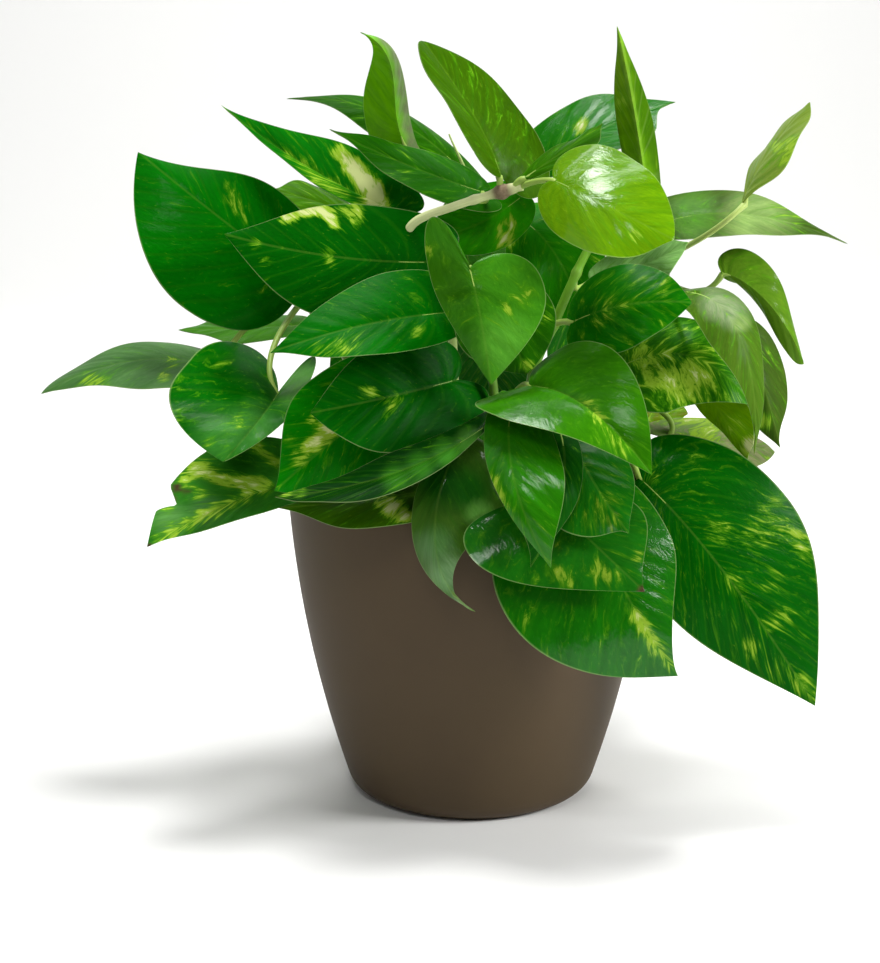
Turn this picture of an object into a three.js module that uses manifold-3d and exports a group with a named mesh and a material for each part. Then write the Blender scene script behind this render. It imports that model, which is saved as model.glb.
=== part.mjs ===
// Potted pothos plant: a round tapered planter of moulded plastic, filled with potting
// soil, with leafy stems that carry heart-shaped leaves on long stalks.
// Millimetres, Z up, origin at the middle of the planter's flat base.

import * as THREE from 'three';
import { ConvexGeometry } from 'three/addons/geometries/ConvexGeometry.js';
import { mergeVertices } from 'three/addons/utils/BufferGeometryUtils.js';
import Module from 'manifold-3d';

const wasm = await Module();
wasm.setup();

// Planter
const rimRadius = 90.7;
const potHeight = 158;
const footRadius = 49.5;
const footRounding = 13.3;
const wallBow = 0.7;
const wallThickness = 3;
const floorThickness = 4;
const lipRounding = 1.4;
const potSides = 32;
const wallSteps = 4;
const footSteps = 4;

// Soil
const soilLevel = 143;
const soilMound = 4;
const moundSteps = 2;
const clearance = 0.3;

// Stems, round and tapering. A spike is a young leaf that is still rolled up
const stemRadius = 2.6;
const stemTipRadius = 1.7;
const spikeTipRadius = 0.4;
const spikeNarrowing = 0.4;
const footDepth = 24;
const collarHeight = 6;
const stemSegments = 10;
const stemSides = 6;

// Leaf stalks, which sheathe the stem at their foot and run on under the midrib
const stalkRadius = 1.3;
const sheathRadius = 2.1;
const sheathShare = 0.85;
const stalkArch = 0.16;
const stalkSegments = 4;
const stalkSides = 5;
const runOn = 0.1;
const runOnRadius = 0.24;

// Leaf blades
const bladeThickness = 0.8;
const bladeRows = 8;
const bladeStrips = 2;
const rowCrowding = 1.15;
const ribCrowding = 1.7;
const widestAt = 0.3;
const bulgeShare = 0.12;
const waveHeight = 1;
const waveCount = 2.2;
const waveShiftOfHalf = 2.1;
const waveShiftOfLeaf = 1.7;
const tearDepths = [-130, 0];
const mergeWithin = 0.03;

// The margin's two Bezier curves, as shares of the midrib and of the half width: round the
// lobe to the widest place, and on to the tip
const lobeStretch = 0.4;
const lobeBack = [1.6, 1.1];
const lobeOut = [0.28, 1];
const tipAhead = 0.3;
const tipAlong = { sharp: 0.8, blunt: 0.12 };
const tipOut = { sharp: 0.1, blunt: 0.7 };

// Colours
const potBrown = 0x4a3f34;
const soilBrown = 0x2c2119;
const stemGreen = 0x8fae45;
const leafDark = 0x0d5a0a;
const leafMid = 0x23790f;
const leafLight = 0x3f9a1c;
const leafYoung = 0x77b316;

// The view that leaf places are given in: the column and row where a point is seen in an
// 880 by 963 frame, with its distance in mm behind the planter's axis (less than 0 is nearer)
const eye = new THREE.Vector3(0, -1000, 372.4);
const lookedAt = new THREE.Vector3(-15.6, 0, 156.1);
const focalPixels = 2071.9;
const frameMiddle = [440, 481.5];
const forward = lookedAt.clone().sub(eye).normalize();
const rightward = forward.clone().cross(new THREE.Vector3(0, 0, 1)).normalize();
const upward = rightward.clone().cross(forward);

function see([column, row, depth]) {
  const ray = forward.clone().multiplyScalar(focalPixels);
  ray.addScaledVector(rightward, column - frameMiddle[0]);
  ray.addScaledVector(upward, frameMiddle[1] - row);
  return ray.multiplyScalar((depth - eye.y) / ray.y).add(eye);
}

// Stems, from their foot in the soil upwards: a foot as [x, y], then seen points
const stems = {
  stem_main: {
    foot: [-30, -2],
    path: [
      [400, 330, -22], [403, 262, -26], [412, 225, -38],
      [455, 206, -48], [497, 193, -52], [522, 186, -55],
    ],
  },
  stem_right: {
    foot: [30, -12],
    path: [
      [532, 377, -36], [555, 322, -39], [571, 285, -38],
      [588, 250, -34], [612, 218, -26], [636, 200, -24],
    ],
  },
  stem_left: {
    foot: [-56, 4],
    path: [[352, 372, -6], [322, 318, -6], [304, 298, -6], [318, 262, 0], [352, 232, 8]],
  },
  stem_centre: {
    foot: [-2, -42],
    path: [[494, 420, -50], [488, 345, -50], [480, 285, -54]],
  },
  stem_front_right: {
    foot: [44, -38],
    path: [[580, 462, -54], [598, 430, -48], [612, 400, -42]],
  },
  stem_back_right: {
    foot: [52, 16],
    path: [[600, 385, 18], [640, 330, 14], [664, 280, 6], [672, 246, -2]],
  },
  stem_front_left: {
    foot: [-46, -34],
    path: [[398, 440, -48], [378, 412, -46], [368, 380, -40]],
  },
  stem_back: {
    foot: [-8, 40],
    path: [[452, 330, 36], [446, 262, 32], [456, 222, 24], [468, 184, 14], [449, 134, 8]],
    spike: 0.82,
  },
};

// Leaves: rib runs along the midrib from the stalk to the tip, edges are the two margins
// at the widest place, lobe is how far the heart's lobes reach back, blunt fills out the
// tip half (both in the order of the edges), via is a point on the stalk and tear a lost
// wedge. An under leaf shows its underside.
const leaves = {
  leaf_top_curl: {
    stem: 'stem_back', at: 0.72, rib: [[414, 157, 0], [396, 112, -4], [391, 66, -6], [360, 32, -10]],
    edges: [[364, 106, 8], [408, 112, 18]], blunt: [0, 0.8], via: [436, 176, 8], colour: leafLight,
  },
  leaf_top_mid: {
    stem: 'stem_main', at: 0.88, rib: [[501, 176, -54], [474, 116, -50], [423, 41, -44]],
    edges: [[536, 133, -28], [451, 114, -66]], lobe: [0.25, 0.1], blunt: [0.8, 0.9],
    via: [500, 184, -53], colour: leafLight,
  },
  leaf_top_tall: {
    stem: 'stem_right', at: 1, rib: [[646, 190, -48], [634, 110, -44], [617, 26, -42]],
    edges: [[617, 124, -28], [656, 140, -30]], lobe: [0.16, 0.3], blunt: [0.1, 0.1],
    under: true, colour: leafLight,
  },
  leaf_front_bright: {
    stem: 'stem_main', at: 1, rib: [[554, 180, -76], [606, 205, -94], [674, 240, -100]],
    edges: [[628, 155, -72], [583, 250, -104]], lobe: [0.18, 0.17], blunt: [1.04, 0.33],
    via: [538, 181, -66], colour: leafYoung,
  },
  leaf_top_back_right: {
    stem: 'stem_right', at: 0.86, rib: [[530, 172, -16], [600, 130, -12], [676, 102, -6]],
    edges: [[568, 105, 6], [634, 144, -26]], lobe: [0.15, 0.1], blunt: [0.2, -0.2],
    via: [560, 188, -18], colour: leafMid,
  },
  leaf_top_shaded: {
    stem: 'stem_main', at: 0.95, rib: [[524, 178, -58], [562, 152, -58], [603, 123, -54]],
    edges: [[552, 150, -50], [588, 150, -62]], via: [518, 182, -56], colour: leafDark,
  },
  leaf_right_tip: {
    stem: 'stem_back_right', at: 0.95, rib: [[742, 204, -34], [768, 153, -32], [810, 102, -26]],
    edges: [[756, 158, -12], [786, 163, -54]], lobe: [-0.1, -0.08], blunt: [0.5, 0.5],
    via: [714, 230, -32], colour: leafLight,
  },
  leaf_right_upper: {
    stem: 'stem_back_right', at: 1, rib: [[664, 222, 4], [752, 215, 0], [848, 244, -8]],
    edges: [[706, 189, 18], [728, 237, -20]], lobe: [0.2, 0.1], blunt: [0, 0], colour: leafMid,
  },
  leaf_right_hook: {
    stem: 'stem_back_right', at: 0.8,
    rib: [[722, 274, -16], [744, 282, -20], [775, 311, -26], [804, 364, -28]],
    edges: [[757, 304, -16], [752, 252, -8]], lobe: [0.15, 0.01], blunt: [1, 0.6],
    via: [698, 292, -4], colour: leafLight,
  },
  leaf_right_droop: {
    stem: 'stem_back_right', at: 0.72,
    rib: [[686, 292, -36], [730, 318, -46], [752, 380, -52], [754, 455, -54]],
    edges: [[705, 334, -52], [749, 312, -36]], blunt: [-0.3, 0.2], via: [674, 306, -14],
    colour: leafLight,
  },
  leaf_right_back: {
    stem: 'stem_back_right', at: 0.62, rib: [[742, 322, -14], [762, 380, -20], [780, 448, -24]],
    edges: [[785, 370, -8], [738, 392, -18]], blunt: [0, 0.3], via: [700, 334, 4], colour: leafDark,
  },
  leaf_right_inner: {
    stem: 'stem_back_right', at: 0.5, rib: [[690, 372, -16], [720, 412, -26], [748, 462, -32]],
    edges: [[699, 408, -16], [748, 408, -34]], via: [662, 366, 4], colour: leafMid,
  },
  leaf_right_pale: {
    stem: 'stem_back_right', at: 0.4, rib: [[668, 438, 8], [722, 442, 6], [775, 452, 2]],
    edges: [[700, 419, 20], [712, 472, -8]], lobe: [0.25, 0.2], blunt: [0.5, 0.7],
    via: [662, 412, 14], colour: leafLight,
  },
  leaf_right_small: {
    stem: 'stem_back_right', at: 0.3, rib: [[632, 424, 26], [660, 417, 28], [688, 414, 28]],
    edges: [[655, 404, 38], [655, 432, 18]], blunt: [0.6, 0.3], colour: leafLight,
  },
  leaf_right_streaked: {
    stem: 'stem_right', at: 0.3, rib: [[618, 368, -18], [690, 356, -30], [752, 405, -34]],
    edges: [[674, 316, -12], [664, 413, -44]], blunt: [0.5, 0.5], via: [586, 384, -24], colour: leafMid,
  },
  leaf_front_right_big: {
    stem: 'stem_front_right', at: 0.9, rib: [[640, 478, -52], [724, 572, -68], [815, 706, -62]],
    edges: [[786, 496, -46], [655, 600, -72]], lobe: [0.2, 0.05], blunt: [0.4, 0.35],
    via: [622, 440, -42], colour: leafDark,
  },
  leaf_front_middle: {
    stem: 'stem_centre', at: 0.46, rib: [[530, 386, -88], [588, 408, -108], [652, 475, -122]],
    edges: [[604, 346, -90], [495, 415, -114]], blunt: [0.35, 0.3], via: [516, 392, -70], colour: leafLight,
  },
  leaf_centre_heart: {
    stem: 'stem_centre', at: 1, rib: [[470, 268, -94], [482, 326, -101], [491, 385, -104]],
    edges: [[431, 280, -88], [545, 289, -92]], lobe: [0.38, 0.09], blunt: [0.45, 0.3],
    via: [478, 272, -72], colour: leafLight,
  },
  leaf_centre_behind: {
    stem: 'stem_centre', at: 0.86, rib: [[488, 282, -70], [506, 322, -80], [527, 374, -84]],
    edges: [[553, 304, -76], [458, 342, -78]], blunt: [0.5, 0.5], via: [486, 290, -62], colour: leafMid,
  },
  leaf_left_middle: {
    stem: 'stem_main', at: 0.34, rib: [[452, 312, -64], [360, 326, -82], [270, 353, -92]],
    edges: [[388, 273, -58], [396, 353, -90]], blunt: [0.25, 0.25], via: [432, 326, -42], colour: leafLight,
  },
  leaf_left_upper: {
    stem: 'stem_main', at: 0.46, rib: [[430, 262, -40], [330, 256, -54], [224, 234, -62]],
    edges: [[362, 204, -38], [346, 322, -58]], lobe: [0.2, 0.1], blunt: [0.3, 0.3],
    via: [418, 270, -32], colour: leafDark,
  },
  leaf_left_big: {
    stem: 'stem_left', at: 0.86, rib: [[300, 278, -20], [224, 221, -28], [138, 152, -20]],
    edges: [[281, 192, -10], [184, 308, -40]], blunt: [0.1, 0.5], via: [306, 282, -8], colour: leafDark,
  },
  leaf_left_streaked: {
    stem: 'stem_back', at: 0.56, rib: [[405, 214, -10], [312, 169, -14], [221, 105, -18]],
    edges: [[362, 153, -2], [326, 190, -24]], blunt: [0, -0.2], via: [430, 224, 6], colour: leafMid,
  },
  leaf_upper_dark: {
    stem: 'stem_main', at: 0.78, rib: [[483, 192, -14], [410, 166, -16], [329, 129, -22]],
    edges: [[428, 152, -2], [424, 196, -30]], lobe: [0.1, 0.2], blunt: [0.2, -0.1],
    via: [486, 200, -34], colour: leafDark,
  },
  leaf_top_back_left: {
    stem: 'stem_back', at: 0.66, rib: [[474, 184, 28], [386, 115, 28], [286, 99, 20]],
    edges: [[430, 127, 40], [402, 154, 14]], blunt: [0.2, 0], via: [462, 196, 26], colour: leafMid,
  },
  leaf_left_far: {
    stem: 'stem_left', at: 0.72, rib: [[224, 368, -18], [132, 361, -22], [41, 394, -26]],
    edges: [[158, 342, 2], [156, 387, -42]], blunt: [0.7, 0.2], via: [244, 330, -26], colour: leafMid,
  },
  leaf_left_round: {
    stem: 'stem_left', at: 0.66, rib: [[278, 393, -52], [258, 421, -76], [223, 462, -94]],
    edges: [[190, 360, -80], [304, 397, -62]], lobe: [0.56, 0.72], blunt: [1.55, 0.6],
    via: [272, 352, -36], colour: leafMid,
  },
  leaf_left_fold: {
    stem: 'stem_front_left', at: 0.9, rib: [[392, 392, -54], [334, 440, -76], [274, 491, -88]],
    edges: [[308, 382, -74], [372, 486, -68]], lobe: [0.2, 0.1], blunt: [0.1, 0.3], colour: leafMid,
  },
  leaf_middle_dark: {
    stem: 'stem_front_left', at: 1, rib: [[456, 380, -54], [384, 398, -80], [310, 413, -94]],
    edges: [[392, 338, -66], [412, 450, -86]], lobe: [0.1, 0.25], blunt: [0.35, 0.35], colour: leafDark,
  },
  leaf_left_low: {
    stem: 'stem_centre', at: 0.2, rib: [[488, 424, -88], [392, 474, -104], [274, 497, -106]],
    edges: [[412, 446, -88], [384, 494, -116]], lobe: [0.15, 0.1], blunt: [0.3, 0.3],
    via: [492, 430, -72], colour: leafLight,
  },
  leaf_left_torn: {
    stem: 'stem_front_left', at: 0.6, rib: [[318, 478, -54], [232, 502, -72], [147, 547, -84]],
    edges: [[222, 445, -54], [266, 512, -80]], lobe: [0.1, 0.2], blunt: [0.4, 0.15],
    tear: [[189, 499], [156, 478], [150, 506]], colour: leafLight,
  },
  leaf_rim_left: {
    stem: 'stem_front_left', at: 0.4, rib: [[440, 488, -76], [362, 500, -92], [278, 508, -86]],
    edges: [[378, 478, -76], [392, 527, -102]], lobe: [0.2, 0.1], blunt: [0.3, 0.1], colour: leafMid,
  },
  leaf_left_under: {
    stem: 'stem_left', at: 0.6, rib: [[304, 325, 10], [240, 328, 8], [178, 330, 4]],
    edges: [[252, 314, 28], [252, 342, -6]], via: [318, 330, 4], colour: leafMid,
  },
  leaf_droop_left: {
    stem: 'stem_front_left', at: 0.5,
    rib: [[470, 436, -84], [444, 478, -100], [436, 552, -108], [476, 612, -102]],
    edges: [[414, 500, -96], [503, 509, -94]], blunt: [0.2, -0.4], via: [440, 440, -66],
    colour: leafDark,
  },
  leaf_droop_centre: {
    stem: 'stem_centre', at: 0.34, rib: [[512, 404, -94], [514, 480, -122], [551, 568, -130]],
    edges: [[484, 444, -108], [563, 466, -118]], blunt: [0.3, 0.3], via: [506, 404, -70], colour: leafMid,
  },
  leaf_droop_behind: {
    stem: 'stem_front_right', at: 0.3, rib: [[558, 426, -86], [562, 492, -116], [530, 568, -121]],
    edges: [[583, 474, -108], [520, 500, -114]], colour: leafDark,
  },
  leaf_front_inner: {
    stem: 'stem_front_right', at: 0.6, rib: [[572, 440, -76], [596, 486, -102], [629, 534, -118]],
    edges: [[629, 462, -90], [552, 520, -112]], lobe: [0.2, 0.1], blunt: [0.3, 0], colour: leafMid,
  },
  leaf_front_low: {
    stem: 'stem_front_right', at: 0.45, rib: [[548, 500, -98], [592, 542, -108], [645, 592, -114]],
    edges: [[636, 504, -96], [474, 562, -115]], lobe: [0.1, 0.1], blunt: [0.1, 0.35],
    via: [556, 486, -80], colour: leafMid,
  },
  leaf_front_low_big: {
    stem: 'stem_front_right', at: 0.2, rib: [[578, 488, -82], [624, 590, -101], [678, 676, -97]],
    edges: [[668, 532, -83], [500, 604, -110]], lobe: [0.1, 0], blunt: [0, 0.35],
    via: [592, 478, -62], colour: leafMid,
  },
  leaf_centre_right: {
    stem: 'stem_right', at: 0.42, rib: [[572, 322, -52], [630, 304, -62], [692, 303, -62]],
    edges: [[620, 265, -46], [618, 352, -68]], blunt: [0.5, 0.5], via: [562, 322, -44], colour: leafDark,
  },
  leaf_inner_dark: {
    stem: 'stem_back', at: 0.62, rib: [[522, 220, 6], [560, 262, -12], [590, 338, -20]],
    edges: [[598, 236, -2], [516, 300, -16]], lobe: [0.2, 0.1], via: [490, 206, 20], colour: leafDark,
  },
  leaf_inner_top: {
    stem: 'stem_back', at: 0.5, rib: [[522, 196, -10], [478, 224, -8], [434, 236, -8]],
    edges: [[460, 192, 0], [504, 248, -12]], blunt: [0.5, 0.5], via: [500, 222, 10], colour: leafMid,
  },
  leaf_inner_streaked: {
    stem: 'stem_right', at: 0.62, rib: [[592, 280, -24], [640, 266, -28], [688, 242, -34]],
    edges: [[632, 244, -20], [648, 288, -36]], blunt: [0.3, 0.3], via: [576, 288, -30], colour: leafMid,
  },
  leaf_left_yellow: {
    stem: 'stem_left', at: 1, rib: [[360, 222, 12], [318, 202, 10], [268, 190, 6]],
    edges: [[316, 185, 24], [318, 216, -4]], colour: leafLight,
  },
  leaf_back_middle: {
    stem: 'stem_back', at: 0.35, rib: [[478, 322, 50], [490, 372, 98], [500, 450, 124]],
    edges: [[430, 380, 92], [548, 384, 96]], blunt: [0.4, 0.4], under: true, colour: leafMid,
  },
  leaf_back_left: {
    stem: 'stem_back', at: 0.5, rib: [[420, 290, 44], [375, 332, 84], [338, 415, 108]],
    edges: [[345, 314, 78], [418, 386, 78]], blunt: [0.4, 0.4], under: true, colour: leafDark,
  },
  leaf_back_right: {
    stem: 'stem_back_right', at: 0.56, rib: [[572, 300, 40], [604, 348, 76], [636, 430, 100]],
    edges: [[640, 322, 62], [556, 386, 72]], blunt: [0.4, 0.4], under: true, colour: leafMid,
  },
  leaf_back_top: {
    stem: 'stem_back', at: 0.42, rib: [[450, 230, 44], [466, 250, 90], [476, 320, 124]],
    edges: [[410, 258, 80], [524, 262, 84]], blunt: [0.4, 0.4], under: true, colour: leafLight,
  },
  leaf_back_low_left: {
    stem: 'stem_back', at: 0.27, rib: [[420, 396, 64], [388, 436, 110], [376, 530, 124]],
    edges: [[344, 444, 98], [438, 462, 112]], blunt: [0.4, 0.4], under: true, colour: leafDark,
  },
  leaf_back_low_right: {
    stem: 'stem_back_right', at: 0.25, rib: [[540, 396, 60], [566, 440, 108], [578, 540, 122]],
    edges: [[520, 460, 110], [616, 446, 98]], blunt: [0.4, 0.4], under: true, colour: leafMid,
  },
};

// Planter: a lathe profile up the outside, over the lip and down the inside
function wallPoint(share, inset) {
  const slope = Math.atan2((rimRadius - footRadius - footRounding) * (1 + wallBow), potHeight);
  const startRadius = footRadius + footRounding * Math.cos(slope);
  const startHeight = footRounding * (1 - Math.sin(slope));
  const radius = startRadius + (rimRadius - startRadius) * (share + wallBow * share * (1 - share));
  const height = startHeight + (potHeight - lipRounding - startHeight) * share;
  return new THREE.Vector2(radius - inset, height);
}

// The inside from the floor's edge up to the lip, moved in by an inset
function insideProfile(inset) {
  const profile = [new THREE.Vector2(footRadius - inset, floorThickness + inset)];
  for (let i = 0; i <= wallSteps; i += 1) {
    profile.push(wallPoint(i / wallSteps, wallThickness + inset));
  }
  return profile;
}

function arc(centreRadius, centreHeight, radius, from, to, steps) {
  const points = [];
  for (let i = 0; i <= steps; i += 1) {
    const angle = THREE.MathUtils.lerp(from, to, i / steps);
    points.push(new THREE.Vector2(
      centreRadius + radius * Math.cos(angle),
      centreHeight + radius * Math.sin(angle),
    ));
  }
  return points;
}

function planterGeometry() {
  const slope = Math.atan2(rimRadius - footRadius - footRounding, potHeight);
  const lipRadius = rimRadius - lipRounding;
  const lipHeight = potHeight - lipRounding;
  const profile = [new THREE.Vector2(0, 0)];
  profile.push(...arc(footRadius, footRounding, footRounding, -Math.PI / 2, -slope, footSteps));
  for (let i = 1; i <= wallSteps; i += 1) {
    profile.push(wallPoint(i / wallSteps, 0));
  }
  profile.push(...arc(lipRadius, lipHeight, lipRounding, Math.PI / 4, Math.PI / 2, 1));
  profile.push(new THREE.Vector2(rimRadius - wallThickness + lipRounding / 2, potHeight));
  profile.push(...insideProfile(0).reverse());
  profile.push(new THREE.Vector2(0, floorThickness));
  return new THREE.LatheGeometry(profile, potSides).rotateX(Math.PI / 2);
}

// Solids
function solidOf(geometry) {
  const bare = geometry.clone();
  bare.deleteAttribute('normal');
  bare.deleteAttribute('uv');
  const merged = mergeVertices(bare, 1e-4);
  const corners = merged.index.array;
  const kept = [];
  for (let i = 0; i < corners.length; i += 3) {
    const [a, b, c] = corners.slice(i, i + 3);
    if (a !== b && b !== c && c !== a) {
      kept.push(a, b, c);
    }
  }
  const mesh = new wasm.Mesh({
    numProp: 3,
    vertProperties: new Float32Array(merged.attributes.position.array),
    triVerts: new Uint32Array(kept),
  });
  return new wasm.Manifold(mesh);
}

function geometryOf(solid) {
  const mesh = solid.getMesh();
  const geometry = new THREE.BufferGeometry();
  geometry.setAttribute('position', new THREE.BufferAttribute(mesh.vertProperties, 3));
  geometry.setIndex(new THREE.BufferAttribute(mesh.triVerts, 1));
  geometry.computeVertexNormals();
  return geometry;
}

// A closed tube through points, with a radius at each, whose rings are carried along
// without twisting
function tubeGeometry(points, radii, sides) {
  const vertices = [];
  const corners = [];
  const last = points.length - 1;
  let across = null;
  points.forEach((point, i) => {
    const before = points[Math.max(i - 1, 0)];
    const after = points[Math.min(i + 1, last)];
    const along = after.clone().sub(before).normalize();
    if (across === null) {
      const side = Math.abs(along.z) > 0.9 ? new THREE.Vector3(1, 0, 0) : new THREE.Vector3(0, 0, 1);
      across = side.cross(along);
    }
    across = across.clone().addScaledVector(along, -across.dot(along)).normalize();
    const other = along.clone().cross(across);
    for (let k = 0; k < sides; k += 1) {
      const angle = (2 * Math.PI * k) / sides;
      const vertex = point.clone();
      vertex.addScaledVector(across, radii[i] * Math.cos(angle));
      vertex.addScaledVector(other, radii[i] * Math.sin(angle));
      vertices.push(vertex.x, vertex.y, vertex.z);
    }
  });
  for (let i = 0; i < last; i += 1) {
    for (let k = 0; k < sides; k += 1) {
      const a = i * sides + k;
      const b = i * sides + ((k + 1) % sides);
      corners.push(a, b, b + sides, a, b + sides, a + sides);
    }
  }
  for (let k = 1; k < sides - 1; k += 1) {
    const end = last * sides;
    corners.push(0, k + 1, k, end, end + k, end + k + 1);
  }
  const geometry = new THREE.BufferGeometry();
  geometry.setAttribute('position', new THREE.Float32BufferAttribute(vertices, 3));
  geometry.setIndex(corners);
  return geometry;
}

// A stem from its buried foot up through the soil and its seen points
function stemCurve(stem) {
  const [x, y] = stem.foot;
  const buried = new THREE.Vector3(x, y, soilLevel - footDepth);
  const collar = new THREE.Vector3(x, y, soilLevel + collarHeight);
  const points = [buried, collar, ...stem.path.map(see)];
  return new THREE.CatmullRomCurve3(points, false, 'centripetal');
}

// A spike narrows quickly at its foot and slowly on to its tip
function stemRadiusAt(stem, share) {
  const plain = THREE.MathUtils.lerp(stemRadius, stemTipRadius, share);
  if (!stem.spike || share < stem.spike) {
    return plain;
  }
  const along = (share - stem.spike) / (1 - stem.spike);
  return THREE.MathUtils.lerp(plain, spikeTipRadius, along ** spikeNarrowing);
}

function stemTube(stem, growth) {
  const curve = stemCurve(stem);
  const points = [];
  const radii = [];
  for (let i = 0; i <= stemSegments; i += 1) {
    const share = i / stemSegments;
    points.push(curve.getPoint(share));
    radii.push(stemRadiusAt(stem, share) + growth);
  }
  points[0].z -= growth;
  return tubeGeometry(points, radii, stemSides);
}

// Leaves. A leaf is worked out from its midrib, a smooth line through the rib points, and
// from the two margin points, each measured from the midrib at the widest place as a part
// along it, a part across it and a part out of it, which then shrink with the outline.
function through(points, share) {
  const result = new THREE.Vector3();
  const gaps = points.length - 1;
  points.forEach((point, i) => {
    let weight = 1;
    points.forEach((other, k) => {
      if (k !== i) {
        weight *= (share * gaps - k) / (i - k);
      }
    });
    result.addScaledVector(point, weight);
  });
  return result;
}

function bezier(a, b, c, d, t) {
  const s = 1 - t;
  return a * s * s * s + 3 * b * s * s * t + 3 * c * s * t * t + d * t * t * t;
}

// The margin of one half, from the notch round the lobe to the widest place and the tip:
// how far along the midrib and how far out, both as shares
function margin(step, lobe, blunt) {
  if (step < lobeStretch) {
    const t = step / lobeStretch;
    const along = bezier(0, -lobeBack[0] * lobe, -lobeBack[1] * lobe, widestAt, t);
    return [along, bezier(0, lobeOut[0], lobeOut[1], 1, t)];
  }
  const t = (step - lobeStretch) / (1 - lobeStretch);
  const nearTip = tipAlong.sharp + tipAlong.blunt * blunt;
  const along = bezier(widestAt, widestAt + tipAhead, nearTip, 1, t);
  return [along, bezier(1, 1, tipOut.sharp + tipOut.blunt * blunt, 0, t)];
}

function bladeShape(leaf) {
  const rib = leaf.rib;
  const small = 0.001;
  const place = (share) => {
    const start = through(rib, 0);
    const heading = through(rib, small).sub(start).divideScalar(small);
    return share < 0 ? start.addScaledVector(heading, share) : through(rib, share);
  };
  const frame = (share, across) => {
    const from = Math.max(share, 0);
    const along = through(rib, from + small).sub(through(rib, from - small)).normalize();
    const side = across.clone().addScaledVector(along, -across.dot(along)).normalize();
    return { along, side, out: along.clone().cross(side) };
  };
  const middle = place(widestAt);
  const margins = leaf.edges.map((edge, i) => ({ edge, lobe: leaf.lobe[i], blunt: leaf.blunt[i] }));
  let across = leaf.edges[0].clone().sub(leaf.edges[1]);
  const facing = frame(widestAt, across).out.dot(eye.clone().sub(middle)) > 0;
  if (facing === Boolean(leaf.under)) {
    margins.reverse();
    across = across.negate();
  }
  const base = frame(widestAt, across);
  const halves = margins.map(({ edge }) => {
    const reach = edge.clone().sub(middle);
    return [reach.dot(base.along), reach.dot(base.side), reach.dot(base.out)];
  });
  return (step, strip, half) => {
    const ribShare = step ** ribCrowding;
    const [edgeShare, width] = margin(step, margins[half].lobe, margins[half].blunt);
    const share = THREE.MathUtils.lerp(ribShare, edgeShare, strip);
    const { along, side, out } = frame(share, across);
    const [a, b, c] = halves[half];
    const reach = width * strip;
    const bulge = bulgeShare * Math.abs(b) * width * strip * (1 - strip);
    const ripple = waveHeight * strip * strip * 4 * step * (1 - step);
    const phase = leaf.phase + half * waveShiftOfHalf;
    const wave = ripple * Math.sin(2 * Math.PI * waveCount * step + phase);
    return place(share)
      .addScaledVector(along, a * reach)
      .addScaledVector(side, b * reach)
      .addScaledVector(out, c * reach + bulge + wave);
  };
}

function bladeGeometry(leaf) {
  const shape = bladeShape(leaf);
  const columns = 2 * bladeStrips + 1;
  const middle = [shape(0, 0, 0)];
  for (let row = 1; row < bladeRows; row += 1) {
    const step = (row / bladeRows) ** rowCrowding;
    for (let column = 0; column < columns; column += 1) {
      const offset = bladeStrips - column;
      middle.push(shape(step, Math.abs(offset) / bladeStrips, offset >= 0 ? 0 : 1));
    }
  }
  middle.push(shape(1, 0, 0));
  const tip = middle.length - 1;
  const at = (row, column) => 1 + (row - 1) * columns + column;
  const faces = [];
  for (let column = 0; column < columns - 1; column += 1) {
    faces.push([0, at(1, column + 1), at(1, column)]);
    for (let row = 1; row < bladeRows - 1; row += 1) {
      const [a, b] = [at(row, column), at(row, column + 1)];
      const [c, d] = [at(row + 1, column + 1), at(row + 1, column)];
      faces.push(column < bladeStrips ? [a, b, c] : [a, b, d]);
      faces.push(column < bladeStrips ? [a, c, d] : [b, c, d]);
    }
    faces.push([at(bladeRows - 1, column), at(bladeRows - 1, column + 1), tip]);
  }
  const normals = middle.map(() => new THREE.Vector3());
  faces.forEach(([a, b, c]) => {
    const ab = middle[b].clone().sub(middle[a]);
    const normal = ab.cross(middle[c].clone().sub(middle[a]));
    [a, b, c].forEach((corner) => normals[corner].add(normal));
  });
  const rim = [0];
  for (let row = 1; row < bladeRows; row += 1) {
    rim.push(at(row, 0));
  }
  rim.push(tip);
  for (let row = bladeRows - 1; row > 0; row -= 1) {
    rim.push(at(row, columns - 1));
  }
  const count = middle.length;
  const vertices = [];
  [0.5, -0.5].forEach((side) => {
    middle.forEach((point, i) => {
      const normal = normals[i].clone().normalize();
      const vertex = point.clone().addScaledVector(normal, side * bladeThickness);
      vertices.push(vertex.x, vertex.y, vertex.z);
    });
  });
  const corners = [];
  faces.forEach(([a, b, c]) => corners.push(a, b, c, a + count, c + count, b + count));
  rim.forEach((a, i) => {
    const b = rim[(i + 1) % rim.length];
    corners.push(a, b, b + count, a, b + count, a + count);
  });
  const geometry = new THREE.BufferGeometry();
  geometry.setAttribute('position', new THREE.Float32BufferAttribute(vertices, 3));
  geometry.setIndex(corners);
  return geometry;
}

// The stalk: an arched line from the stem to the blade's notch, run on under the midrib
function stalkGeometry(leaf) {
  const start = stemCurve(stems[leaf.stem]).getPoint(leaf.at);
  const end = leaf.rib[0];
  const span = end.distanceTo(start);
  const arch = new THREE.Vector3(0, 0, stalkArch * span);
  const via = leaf.via ?? start.clone().add(end).multiplyScalar(0.5).add(arch);
  const stemThere = THREE.MathUtils.lerp(stemRadius, stemTipRadius, leaf.at);
  const sheath = Math.min(sheathRadius, sheathShare * stemThere);
  const points = [];
  const radii = [];
  for (let i = 0; i <= stalkSegments; i += 1) {
    const share = i / stalkSegments;
    points.push(through([start, via, end], share));
    radii.push(THREE.MathUtils.lerp(sheath, stalkRadius, Math.sqrt(share)));
  }
  points.push(through(leaf.rib, runOn));
  radii.push(runOnRadius);
  return tubeGeometry(points, radii, stalkSides);
}

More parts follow.
